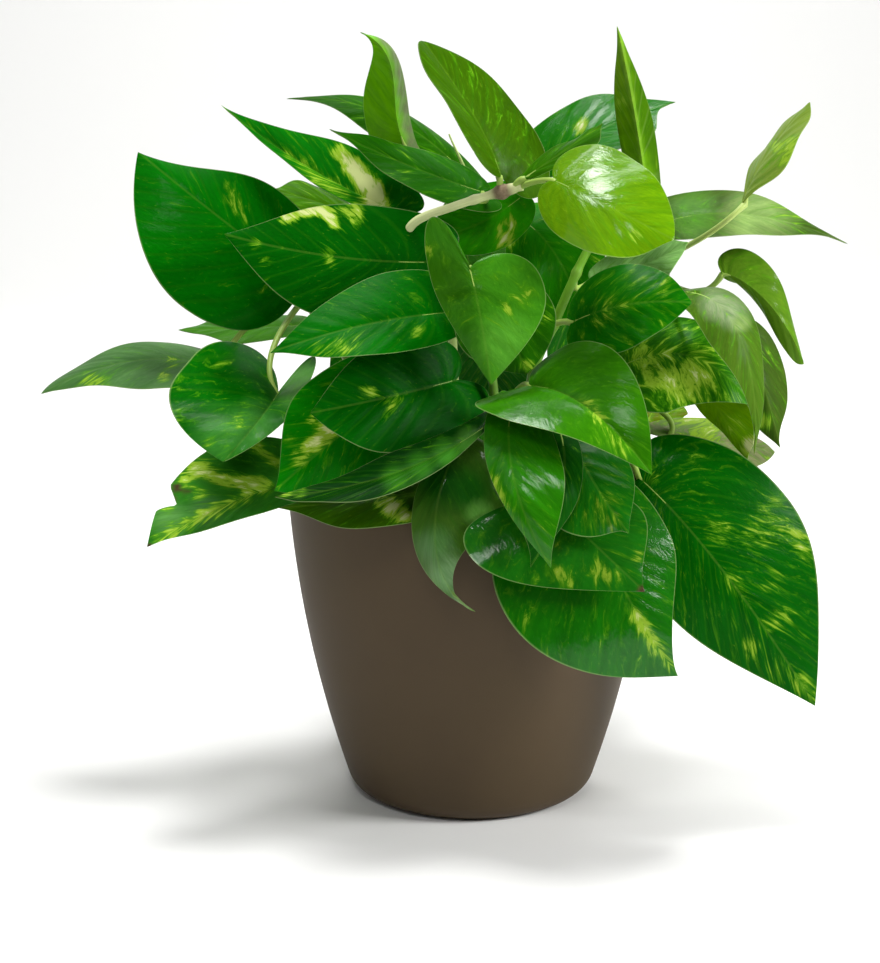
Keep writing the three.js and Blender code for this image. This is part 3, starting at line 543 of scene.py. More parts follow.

# Each leaf has the stem that it grows from, the share up it, and its midrib. Then come its
# margins at the widest place, how far each lobe reaches back, how blunt each side's tip is,
# whether the underside shows, and the way point of its stalk, with all places as a column, a
# row and mm behind the planter's axis. Then come its green, wax, paleness and cream all over,
# a tear, and as seen in the view its dry places, cream marks and painted shading of green.
# Each green was matched to how light or dark the leaf looks where it stands, so the darker
# greens hold painted shade and the lighter ones painted light, as well as the leaf's own
# tone. Paleness is painted light on the streaks, and the painted shading paints shadow,
# sheen and lit sides at places on a leaf.
leaves = {
    "leaf_top_curl": dict(
        stem="stem_back", at=0.72,
        rib=[[414, 157, 0], [396, 112, -4], [391, 66, -6], [360, 32, -10]],
        edges=[[364, 106, 8], [408, 112, 18]], blunt=[0, 0.8], via=[436, 176, 8],
        slot="leaf_light", green="#5ea802", cream=0.05,
        marks=[(381, 130, 8, 0.2)],
        # Painted shade on the right margin strip, which faces the lamps.
        painted_shades=[(388, 38, 10, "#56663a"), (398, 54, 10, "#56663a"), (403, 72, 10, "#56663a"),
            (406, 90, 10, "#56663a"), (409, 108, 10, "#56663a"), (411, 126, 10, "#56663a"),
            (414, 144, 10, "#56663a")]),
    "leaf_top_mid": dict(
        stem="stem_main", at=0.88, rib=[[501, 176, -54], [474, 116, -50], [423, 41, -44]],
        edges=[[536, 133, -28], [451, 114, -66]], lobe=[0.25, 0.1], blunt=[0.8, 0.9],
        via=[500, 184, -53],
        slot="leaf_light", green="#325a02", cream=-0.02,
        marks=[(447, 62, 8, 0.08), (464, 82, 14, 0.07), (482, 105, 16, 0.07),
            (522, 128, 10, 0.08)]),
    "leaf_top_tall": dict(
        stem="stem_right", at=1, rib=[[646, 190, -48], [634, 110, -44], [617, 26, -42]],
        edges=[[617, 124, -28], [656, 140, -30]], lobe=[0.16, 0.3], blunt=[0.1, 0.1], under=True,
        slot="leaf_light", green="#396702",
        marks=[(622, 95, 7, 0.3), (621, 106, 6, 0.25), (618, 42, 8, 0.3)],
        # Painted light on the left half, which the lamps leave darker.
        painted_shades=[(614, 40, 12, "#6a9c08"), (616, 60, 12, "#6a9c08"), (618, 80, 12, "#6a9c08"),
            (621, 100, 12, "#6a9c08"), (624, 120, 12, "#659a06"), (629, 140, 12, "#5f9604"),
            (636, 160, 12, "#5f9604"), (641, 178, 12, "#5f9604")]),
    "leaf_front_bright": dict(
        stem="stem_main", at=1, rib=[[554, 180, -76], [606, 205, -94], [674, 240, -100]],
        edges=[[628, 155, -72], [583, 250, -104]], lobe=[0.18, 0.17], blunt=[1.04, 0.33],
        via=[538, 181, -66],
        slot="leaf_young", green="#588902", wax=0.5, cream=0.03,
        marks=[(634, 236, 8, 0.25), (545, 158, 7, 0.25)]),
    "leaf_top_back_right": dict(
        stem="stem_right", at=0.86, rib=[[530, 172, -16], [600, 130, -12], [676, 102, -6]],
        edges=[[568, 105, 6], [634, 144, -26]], lobe=[0.15, 0.1], blunt=[0.2, -0.2],
        via=[560, 188, -18],
        slot="leaf_green", green="#146602", wax=0.2, pale=0.7,
        marks=[(583, 122, 6, 0.45), (579, 130, 6, 0.4)]),
    "leaf_top_shaded": dict(
        stem="stem_main", at=0.95, rib=[[524, 178, -58], [562, 152, -58], [603, 123, -54]],
        edges=[[552, 150, -50], [588, 150, -62]], via=[518, 182, -56],
        slot="leaf_dark", green="#2c6402"),
    "leaf_right_tip": dict(
        stem="stem_back_right", at=0.95, rib=[[742, 204, -34], [768, 153, -32], [810, 102, -26]],
        edges=[[756, 158, -12], [786, 163, -54]], lobe=[-0.1, -0.08], blunt=[0.5, 0.5],
        via=[714, 230, -32],
        slot="leaf_light", green="#769334", stalk="#a8bd66",
        marks=[(786, 155, 9, 0.4), (794, 143, 8, 0.4), (775, 146, 5, 0.35)]),
    "leaf_right_upper": dict(
        stem="stem_back_right", at=1, rib=[[664, 222, 4], [752, 215, 0], [848, 244, -8]],
        edges=[[706, 189, 18], [728, 237, -20]], lobe=[0.2, 0.1], blunt=[0, 0],
        slot="leaf_green", green="#385218",
        marks=[(790, 216, 9, 0.17), (776, 213, 8, 0.12)],
        # Painted light brightens the left half; the middle is turned paler grey-green.
        painted_shades=[(692, 214, 22, "#4a7c26"), (760, 220, 30, "#7a9a52")]),
    "leaf_right_hook": dict(
        stem="stem_back_right", at=0.8,
        rib=[[722, 274, -16], [744, 282, -20], [775, 311, -26], [804, 364, -28]],
        edges=[[757, 304, -16], [752, 252, -8]], lobe=[0.15, 0.01], blunt=[1, 0.6],
        via=[698, 292, -4],
        slot="leaf_light", green="#56811a", wax=0.15, cream=0.02),
    "leaf_right_droop": dict(
        stem="stem_back_right", at=0.72,
        rib=[[686, 292, -36], [730, 318, -46], [752, 380, -52], [754, 455, -54]],
        edges=[[705, 334, -52], [749, 312, -36]], blunt=[-0.3, 0.2], via=[674, 306, -14],
        slot="leaf_light", green="#436616", cream=0.05,
        marks=[(748, 420, 6, 0.3)],
        # Painted light: the lit top is painted pale whitish green.
        painted_shades=[(716, 304, 14, "#7f9468"), (732, 312, 14, "#7f9468"), (742, 322, 8, "#76934e")]),
    "leaf_right_back": dict(
        stem="stem_back_right", at=0.62, rib=[[742, 322, -14], [762, 380, -20], [780, 448, -24]],
        edges=[[785, 370, -8], [738, 392, -18]], blunt=[0, 0.3], via=[700, 334, 4],
        slot="leaf_dark", green="#395516",
        marks=[(763, 422, 7, 0.42), (767, 357, 8, 0.15)]),
    "leaf_right_inner": dict(
        stem="stem_back_right", at=0.5, rib=[[690, 372, -16], [720, 412, -26], [748, 462, -32]],
        edges=[[699, 408, -16], [748, 408, -34]], via=[662, 366, 4],
        slot="leaf_green", green="#6aa102", cream=0.14,
        marks=[(751, 446, 8, 0.7), (731, 423, 10, 0.2)]),
    "leaf_right_pale": dict(
        stem="stem_back_right", at=0.4, rib=[[668, 438, 8], [722, 442, 6], [775, 452, 2]],
        edges=[[700, 419, 20], [712, 472, -8]], lobe=[0.25, 0.2], blunt=[0.5, 0.7],
        via=[662, 412, 14],
        slot="leaf_light", green="#848a5f", cream=0.24,
        marks=[(699, 433, 14, 0.3)]),
    "leaf_right_small": dict(
        stem="stem_back_right", at=0.3, rib=[[632, 424, 26], [660, 417, 28], [688, 414, 28]],
        edges=[[655, 404, 38], [655, 432, 18]], blunt=[0.6, 0.3],
        slot="leaf_light", green="#616b02", cream=0.2),
    "leaf_right_streaked": dict(
        stem="stem_right", at=0.3, rib=[[618, 368, -18], [690, 356, -30], [752, 405, -34]],
        edges=[[674, 316, -12], [664, 413, -44]], blunt=[0.5, 0.5], via=[586, 384, -24],
        slot="leaf_green", green="#226806", pale=1.15, cream=0.2,
        marks=[(660, 375, 14, 0.25), (680, 388, 14, 0.29), (697, 366, 12, 0.27),
            (642, 356, 10, 0.27), (706, 385, 10, 0.24), (668, 352, 8, 0.16)]),
    "leaf_front_right_big": dict(
        stem="stem_front_right", at=0.9, rib=[[640, 478, -52], [724, 572, -68], [815, 706, -62]],
        edges=[[786, 496, -46], [655, 600, -72]], lobe=[0.2, 0.05], blunt=[0.4, 0.35],
        via=[622, 440, -42],
        slot="leaf_dark", green="#034d02", pale=0.66,
        marks=[(719, 530, 11, 0.3), (759, 535, 14, 0.35), (737, 583, 11, 0.26),
            (770, 506, 12, 0.26), (791, 527, 10, 0.3), (800, 541, 9, 0.32), (806, 554, 8, 0.32),
            (772, 580, 9, 0.26), (784, 617, 10, 0.21), (769, 625, 8, 0.26), (778, 671, 10, 0.26),
            (800, 682, 9, 0.32), (750, 646, 8, 0.37), (684, 614, 8, 0.19), (812, 696, 7, 0.26),
            (691, 460, 12, 0.16), (653, 477, 8, 0.21)]),
    "leaf_front_middle": dict(
        stem="stem_centre", at=0.46, rib=[[530, 386, -88], [588, 408, -108], [652, 475, -122]],
        edges=[[604, 346, -90], [495, 415, -114]], blunt=[0.35, 0.3], via=[516, 392, -70],
        slot="leaf_light", green="#2b7002", wax=0.25, pale=0.85,
        marks=[(585, 398, 6, 0.29), (592, 408, 7, 0.32), (600, 422, 8, 0.32), (610, 437, 8, 0.29),
            (622, 450, 8, 0.26)]),
    "leaf_centre_heart": dict(
        stem="stem_centre", at=1, rib=[[470, 268, -94], [482, 326, -101], [491, 385, -104]],
        edges=[[431, 280, -88], [545, 289, -92]], lobe=[0.38, 0.09], blunt=[0.45, 0.3],
        via=[478, 272, -72],
        slot="leaf_light", green="#32760f", wax=0.08, pale=0.75, cream=0.02,
        marks=[(522, 289, 7, 0.22), (531, 298, 6, 0.23), (514, 305, 8, 0.2), (508, 312, 5, 0.2),
            (427, 251, 6, 0.27)],
        # Painted shade on the left half and painted sheen on the right half.
        painted_shades=[(440, 285, 34, "#2b6406"), (452, 330, 22, "#2f7010"), (505, 345, 26, "#4c9226")]),
    "leaf_centre_behind": dict(
        stem="stem_centre", at=0.86, rib=[[488, 282, -70], [506, 322, -80], [527, 374, -84]],
        edges=[[553, 304, -76], [458, 342, -78]], blunt=[0.5, 0.5], via=[486, 290, -62],
        slot="leaf_green", green="#1c5a02",
        marks=[(527, 366, 6, 0.48), (546, 318, 5, 0.3)]),
    "leaf_left_middle": dict(
        stem="stem_main", at=0.34, rib=[[452, 312, -64], [360, 326, -82], [270, 353, -92]],
        edges=[[388, 273, -58], [396, 353, -90]], blunt=[0.25, 0.25], via=[432, 326, -42],
        slot="leaf_light", green="#025e02", wax=0, cream=-0.05,
        marks=[(350, 343, 10, 0.34), (336, 348, 8, 0.34), (320, 350, 8, 0.24),
            (397, 321, 8, 0.15), (417, 330, 6, 0.18)]),
    "leaf_left_upper": dict(
        stem="stem_main", at=0.46, rib=[[430, 262, -40], [330, 256, -54], [224, 234, -62]],
        edges=[[362, 204, -38], [346, 322, -58]], lobe=[0.2, 0.1], blunt=[0.3, 0.3],
        via=[418, 270, -32],
        slot="leaf_dark", green="#025002", pale=0.85, cream=-0.14,
        marks=[(284, 219, 5, 0.7), (294, 215, 6, 0.8), (306, 210, 6, 0.9), (318, 209, 6, 0.95),
            (328, 213, 6, 0.9), (334, 223, 5, 0.8), (350, 208, 9, 0.5), (358, 216, 9, 0.4),
            (328, 254, 6, 0.34), (331, 264, 5, 0.34), (256, 244, 6, 0.34), (266, 261, 6, 0.3)]),
    "leaf_left_big": dict(
        stem="stem_left", at=0.86, rib=[[300, 278, -20], [224, 221, -28], [138, 152, -20]],
        edges=[[281, 192, -10], [184, 308, -40]], blunt=[0.1, 0.5], via=[306, 282, -8],
        slot="leaf_dark", green="#026702", pale=0.8, cream=-0.1,
        marks=[(228, 187, 6, 0.4), (232, 198, 7, 0.38), (238, 208, 6, 0.3), (246, 220, 6, 0.3),
            (270, 285, 8, 0.26), (195, 310, 5, 0.3)]),
    "leaf_left_streaked": dict(
        stem="stem_back", at=0.56, rib=[[405, 214, -10], [312, 169, -14], [221, 105, -18]],
        edges=[[362, 153, -2], [326, 190, -24]], blunt=[0, -0.2], via=[430, 224, 6],
        slot="leaf_green", green="#097209", pale=1.2, cream=0.04,
        marks=[(340, 152, 7, 0.66), (351, 164, 8, 0.74), (361, 176, 9, 0.78), (370, 190, 10, 0.8),
            (378, 203, 9, 0.78), (316, 177, 8, 0.3), (304, 166, 7, 0.26), (290, 154, 6, 0.22),
            (332, 186, 7, 0.28), (345, 192, 6, 0.24)]),
    "leaf_upper_dark": dict(
        stem="stem_main", at=0.78, rib=[[483, 192, -14], [410, 166, -16], [329, 129, -22]],
        edges=[[428, 152, -2], [424, 196, -30]], lobe=[0.1, 0.2], blunt=[0.2, -0.1],
        via=[486, 200, -34],
        slot="leaf_dark", green="#1a5b02"),
    "leaf_top_back_left": dict(
        stem="stem_back", at=0.66, rib=[[474, 184, 28], [386, 115, 28], [286, 99, 20]],
        edges=[[430, 127, 40], [402, 154, 14]], blunt=[0.2, 0], via=[462, 196, 26],
        slot="leaf_green", green="#1e5402"),
    "leaf_left_far": dict(
        stem="stem_left", at=0.72, rib=[[224, 368, -18], [132, 361, -22], [41, 394, -26]],
        edges=[[158, 342, 2], [156, 387, -42]], blunt=[0.7, 0.2], via=[244, 330, -26],
        slot="leaf_green", green="#47743a",
        marks=[(90, 381, 8, 0.38), (105, 380, 6, 0.3), (165, 377, 6, 0.34), (172, 362, 6, 0.3)]),
    "leaf_left_round": dict(
        stem="stem_left", at=0.66, rib=[[278, 393, -52], [258, 421, -76], [223, 462, -94]],
        edges=[[190, 360, -80], [304, 397, -62]], lobe=[0.56, 0.72], blunt=[1.55, 0.6],
        via=[272, 352, -36],
        slot="leaf_green", green="#035302",
        marks=[(232, 426, 9, 0.21), (245, 418, 8, 0.18), (208, 441, 6, 0.24), (178, 414, 4, 0.28),
            (217, 363, 5, 0.12)],
        # Painted sheen: the lower part and the lobe are painted lighter grey-green.
        painted_shades=[(222, 438, 26, "#2c7020"), (256, 426, 22, "#36782a"), (300, 385, 22, "#4a8434")]),
    "leaf_left_fold": dict(
        stem="stem_front_left", at=0.9, rib=[[392, 392, -54], [334, 440, -76], [274, 491, -88]],
        edges=[[308, 382, -74], [372, 486, -68]], lobe=[0.2, 0.1], blunt=[0.1, 0.3],
        slot="leaf_green", green="#077302", pale=1.1,
        marks=[(336, 426, 9, 0.63), (324, 434, 8, 0.56), (312, 446, 8, 0.56), (300, 458, 8, 0.45),
            (316, 420, 6, 0.36), (290, 440, 6, 0.27)]),
    "leaf_middle_dark": dict(
        stem="stem_front_left", at=1, rib=[[456, 380, -54], [384, 398, -80], [310, 413, -94]],
        edges=[[392, 338, -66], [412, 450, -86]], lobe=[0.1, 0.25], blunt=[0.35, 0.35],
        slot="leaf_dark", green="#024e02", wax=0, cream=-0.14,
        marks=[(366, 391, 8, 0.34), (374, 391, 6, 0.34), (395, 400, 8, 0.38), (388, 410, 7, 0.34),
            (380, 420, 6, 0.21)]),
    "leaf_left_low": dict(
        stem="stem_centre", at=0.2, rib=[[488, 424, -88], [392, 474, -104], [274, 497, -106]],
        edges=[[412, 446, -88], [384, 494, -116]], lobe=[0.15, 0.1], blunt=[0.3, 0.3],
        via=[492, 430, -72],
        slot="leaf_light", green="#023202",
        marks=[(285, 490, 6, 0.5), (300, 492, 6, 0.3)],
        # Painted light along the lower margin, which turns towards the light.
        painted_shades=[(470, 442, 12, "#3f7a26"), (446, 453, 12, "#347a1c"), (420, 465, 12, "#2c7014"),
            (396, 478, 12, "#2a6c10")]),
    "leaf_left_torn": dict(
        stem="stem_front_left", at=0.6, rib=[[318, 478, -54], [232, 502, -72], [147, 547, -84]],
        edges=[[222, 445, -54], [266, 512, -80]], lobe=[0.1, 0.2], blunt=[0.4, 0.15],
        slot="leaf_light", green="#2f7d1c", pale=1.25, cream=-0.05,
        tear=[0.665, 0.715, 0.8, 0.44],
        dry=[(176, 487, 5), (186, 491, 4), (171, 499, 5), (149, 546, 3)],
        marks=[(262, 486, 8, 0.62), (246, 484, 8, 0.62), (230, 481, 8, 0.56), (214, 476, 8, 0.5),
            (200, 468, 9, 0.44), (190, 474, 9, 0.42), (184, 484, 7, 0.36), (258, 449, 7, 0.55),
            (270, 458, 7, 0.5), (278, 466, 6, 0.45), (246, 498, 6, 0.4), (232, 504, 7, 0.44),
            (216, 510, 7, 0.48), (202, 516, 7, 0.5), (188, 524, 7, 0.5), (172, 532, 7, 0.5),
            (158, 541, 6, 0.46), (168, 508, 6, 0.42), (200, 496, 6, 0.36)],
        # Painted shading: greyer green towards the tip, darker green by the upper margin.
        painted_shades=[(170, 520, 16, "#4f8a3e"), (205, 512, 16, "#457f38"), (240, 462, 16, "#155206")]),
    "leaf_rim_left": dict(
        stem="stem_front_left", at=0.4, rib=[[440, 488, -76], [362, 500, -92], [278, 508, -86]],
        edges=[[378, 478, -76], [392, 527, -102]], lobe=[0.2, 0.1], blunt=[0.3, 0.1],
        slot="leaf_green", green="#2a5102",
        marks=[(385, 503, 9, 0.55), (397, 511, 9, 0.55), (408, 518, 7, 0.45)]),
    "leaf_left_under": dict(
        stem="stem_left", at=0.6, rib=[[304, 325, 10], [240, 328, 8], [178, 330, 4]],
        edges=[[252, 314, 28], [252, 342, -6]], via=[318, 330, 4],
        slot="leaf_green", green="#3b7915"),
    "leaf_droop_left": dict(
        stem="stem_front_left", at=0.5,
        rib=[[470, 436, -84], [444, 478, -100], [436, 552, -108], [476, 612, -102]],
        edges=[[414, 500, -96], [503, 509, -94]], blunt=[0.2, -0.4], via=[440, 440, -66],
        slot="leaf_dark", green="#365e17", wax=0.4, cream=-0.1,
        # Painted shadow on the upper part under the leaf above, painted sheen on the lower part.
        painted_shades=[(440, 480, 26, "#0c4206"), (470, 490, 20, "#14500c"), (436, 545, 16, "#4a7a3a"),
            (448, 575, 16, "#628f54"), (466, 602, 12, "#74926a"), (480, 515, 12, "#5c9a3c")]),
    "leaf_droop_centre": dict(
        stem="stem_centre", at=0.34, rib=[[512, 404, -94], [514, 480, -122], [551, 568, -130]],
        edges=[[484, 444, -108], [563, 466, -118]], blunt=[0.3, 0.3], via=[506, 404, -70],
        slot="leaf_green", green="#227202", wax=0.45,
        marks=[(494, 480, 6, 0.4), (499, 494, 6, 0.4), (506, 508, 6, 0.36), (515, 522, 6, 0.28)]),
    "leaf_droop_behind": dict(
        stem="stem_front_right", at=0.3,
        rib=[[558, 426, -86], [562, 492, -116], [530, 568, -121]],
        edges=[[583, 474, -108], [520, 500, -114]],
        slot="leaf_dark", green="#0b4a06", wax=0, cream=-0.1,
        marks=[(561, 480, 4, 0.2), (561, 497, 5, 0.24), (557, 515, 5, 0.2)]),
    "leaf_front_inner": dict(
        stem="stem_front_right", at=0.6,
        rib=[[572, 440, -76], [596, 486, -102], [629, 534, -118]],
        edges=[[629, 462, -90], [552, 520, -112]], lobe=[0.2, 0.1], blunt=[0.3, 0],
        slot="leaf_green", green="#12600a", wax=0.12, pale=0.6, cream=0.05,
        marks=[(603, 500, 9, 0.2), (595, 518, 9, 0.22), (612, 523, 8, 0.22), (588, 466, 6, 0.19),
            (620, 500, 6, 0.17)]),
    "leaf_front_low": dict(
        stem="stem_front_right", at=0.45,
        rib=[[548, 500, -98], [592, 542, -108], [645, 592, -114]],
        edges=[[636, 504, -96], [474, 562, -115]], blunt=[0.1, 0.35], via=[556, 486, -80],
        slot="leaf_green", green="#14600a", wax=0.35, pale=0.66, cream=0.04, dry=[(643, 591, 6)],
        marks=[(597, 572, 9, 0.32), (612, 577, 8, 0.29), (560, 572, 7, 0.27), (569, 582, 6, 0.27),
            (638, 556, 5, 0.36), (560, 548, 6, 0.18)]),
    "leaf_front_low_big": dict(
        stem="stem_front_right", at=0.2, rib=[[578, 488, -82], [624, 590, -101], [678, 676, -97]],
        edges=[[668, 532, -83], [500, 604, -110]], lobe=[0.1, 0], blunt=[0, 0.35],
        via=[592, 478, -62],
        slot="leaf_green", green="#0f5e02", wax=0.45, pale=0.7,
        marks=[(632, 612, 7, 0.38), (640, 623, 8, 0.38), (648, 636, 8, 0.38), (657, 648, 8, 0.38),
            (668, 663, 7, 0.38), (526, 610, 5, 0.34), (524, 622, 5, 0.34)]),
    "leaf_centre_right": dict(
        stem="stem_right", at=0.42, rib=[[572, 322, -52], [630, 304, -62], [692, 303, -62]],
        edges=[[620, 265, -46], [618, 352, -68]], blunt=[0.5, 0.5], via=[562, 322, -44],
        slot="leaf_dark", green="#0e6302", pale=0.75, cream=0.06,
        marks=[(612, 306, 12, 0.17), (640, 285, 10, 0.14), (662, 289, 8, 0.18),
            (600, 322, 6, 0.21)]),
    "leaf_inner_dark": dict(
        stem="stem_back", at=0.62, rib=[[522, 220, 6], [560, 262, -12], [590, 338, -20]],
        edges=[[598, 236, -2], [516, 300, -16]], lobe=[0.2, 0.1], via=[490, 206, 20],
        slot="leaf_dark", green="#1b7202",
        marks=[(507, 232, 10, 0.36), (505, 244, 9, 0.36), (606, 266, 14, 0.27),
            (618, 262, 8, 0.34)]),
    "leaf_inner_top": dict(
        stem="stem_back", at=0.5, rib=[[522, 196, -10], [478, 224, -8], [434, 236, -8]],
        edges=[[460, 192, 0], [504, 248, -12]], blunt=[0.5, 0.5], via=[500, 222, 10],
        slot="leaf_green", green="#278d02",
        marks=[(507, 230, 9, 0.43), (504, 244, 8, 0.43), (511, 220, 6, 0.31)]),
    "leaf_inner_streaked": dict(
        stem="stem_right", at=0.62, rib=[[592, 280, -24], [640, 266, -28], [688, 242, -34]],
        edges=[[632, 244, -20], [648, 288, -36]], blunt=[0.3, 0.3], via=[576, 288, -30],
        slot="leaf_green", green="#82b964", cream=0.1),
    "leaf_left_yellow": dict(
        stem="stem_left", at=1, rib=[[360, 222, 12], [318, 202, 10], [268, 190, 6]],
        edges=[[316, 185, 24], [318, 216, -4]],
        slot="leaf_light", green="#3e7402", cream=0.12),
    "leaf_back_middle": dict(
        stem="stem_back", at=0.35, rib=[[478, 322, 50], [490, 372, 98], [500, 450, 124]],
        edges=[[430, 380, 92], [548, 384, 96]], blunt=[0.4, 0.4], under=True,
        slot="leaf_green", green="#1a700c", cream=0.08),
    "leaf_back_left": dict(
        stem="stem_back", at=0.5, rib=[[420, 290, 44], [375, 332, 84], [338, 415, 108]],
        edges=[[345, 314, 78], [418, 386, 78]], blunt=[0.4, 0.4], under=True,
        slot="leaf_dark", green="#14680a", cream=0.05),
    "leaf_back_right": dict(
        stem="stem_back_right", at=0.56, rib=[[572, 300, 40], [604, 348, 76], [636, 430, 100]],
        edges=[[640, 322, 62], [556, 386, 72]], blunt=[0.4, 0.4], under=True,
        slot="leaf_green", green="#145f0a", cream=0.08),
    "leaf_back_top": dict(
        stem="stem_back", at=0.42, rib=[[450, 230, 44], [466, 250, 90], [476, 320, 124]],
        edges=[[410, 258, 80], [524, 262, 84]], blunt=[0.4, 0.4], under=True,
        slot="leaf_light", green="#3a8a12", cream=0.1),
    "leaf_back_low_left": dict(
        stem="stem_back", at=0.27, rib=[[420, 396, 64], [388, 436, 110], [376, 530, 124]],
        edges=[[344, 444, 98], [438, 462, 112]], blunt=[0.4, 0.4], under=True,
        slot="leaf_dark", green="#126408", cream=0.04),
    "leaf_back_low_right": dict(
        stem="stem_back_right", at=0.25, rib=[[540, 396, 60], [566, 440, 108], [578, 540, 122]],
        edges=[[520, 460, 110], [616, 446, 98]], blunt=[0.4, 0.4], under=True,
        slot="leaf_green", green="#1e720a", cream=0.13),
}


def along_rib(points, share):
    """Point on the smooth line through equally spaced points: each weighted by Lagrange."""
    place = np.asarray(share, float) * (len(points) - 1)
    line = 0
    for i, point in enumerate(points):
        others = [k for k in range(len(points)) if k != i]
        weight = np.prod([(place - k) / (i - k) for k in others], axis=0)
        line = line + weight[..., None] * point
    return line


def bezier(a, b, c, d, t):
    """Cubic Bezier between numbers: ends a and d, handles b and c."""
    s = 1 - t
    return a * s ** 3 + 3 * b * s ** 2 * t + 3 * c * s * t ** 2 + d * t ** 3


def rib_frame(rib, share, across):
    """Directions at a share of the midrib: along it, across in the blade, and out of it."""
    start = np.maximum(share, 0)
    along = unit(along_rib(rib, start + small_share) - along_rib(rib, start - small_share))
    side = unit(across - (along @ across)[..., None] * along)
    return along, side, np.cross(along, side)


def blade_surface(leaf, step, strip, phase):
    """Middle of the blade at a step from notch to tip and a strip from -1 to 1 across it.

    The midrib point at step ** row_gathering is carried towards the margin: along, across and
    out of the blade by what the margin point measures from the midrib at the widest place,
    times the outline's width there. Beziers give that width, and where on the midrib the
    margin point belongs, one up to the widest place and one on to the tip. A bulge between
    midrib and margin and a wave that grows towards the margin are added outwards.
    """
    rib = see(leaf["rib"])
    edges = see(leaf["edges"])
    lobes = leaf.get("lobe", [0.1, 0.1])
    blunts = leaf.get("blunt", [0.15, 0.15])
    middle = along_rib(rib, widest_at)
    across = edges[0] - edges[1]
    order = [0, 1]
    if (rib_frame(rib, widest_at, across)[2] @ (eye - middle) > 0) == leaf.get("under", False):
        across = -across
        order = [1, 0]
    base = rib_frame(rib, widest_at, across)
    far = np.abs(strip)
    left = strip >= 0
    reach = [[(edges[i] - middle) @ direction for direction in base] for i in order]
    along_by, side_by, out_by = (np.where(left, reach[0][k], reach[1][k]) for k in range(3))
    lobe = np.where(left, lobes[order[0]], lobes[order[1]])
    blunt = np.where(left, blunts[order[0]], blunts[order[1]])
    t = step / lobe_share
    s = (step - lobe_share) / (1 - lobe_share)
    near = step < lobe_share
    edge_share = np.where(
        near, bezier(0, lobe_back[0] * lobe, lobe_back[1] * lobe, widest_at, t),
        bezier(widest_at, widest_at + past_widest, tip_from + tip_blunted * blunt, 1, s))
    width = np.where(near, bezier(0, notch_width, 1, 1, t),
                     bezier(1, 1, tip_width + tip_widened * blunt, 0, s))
    share = (1 - far) * step ** row_gathering + far * edge_share
    along, side, out = rib_frame(rib, share, across)
    heading = (along_rib(rib, small_share) - rib[0]) / small_share
    middle_line = along_rib(rib, np.maximum(share, 0)) + np.minimum(share, 0)[..., None] * heading
    bulge = bulge_share * np.abs(side_by) * width * far * (1 - far)
    angle = 2 * np.pi * waves_along * step + phase + np.where(left, 0, other_side_wave)
    wave = wave_height * far ** 2 * step * (1 - step) * np.sin(angle)
    if "tear" in leaf:
        *steps, depth = leaf["tear"]
        notch = np.interp(step, steps, [0, depth, 0])
        width = width * np.where(left, 1, 1 - notch)
    point = (middle_line + (along_by * width * far)[..., None] * along
             + (side_by * width * far)[..., None] * side
             + (out_by * width * far + bulge + wave)[..., None] * out)
    return point, side_by * strip * width, out


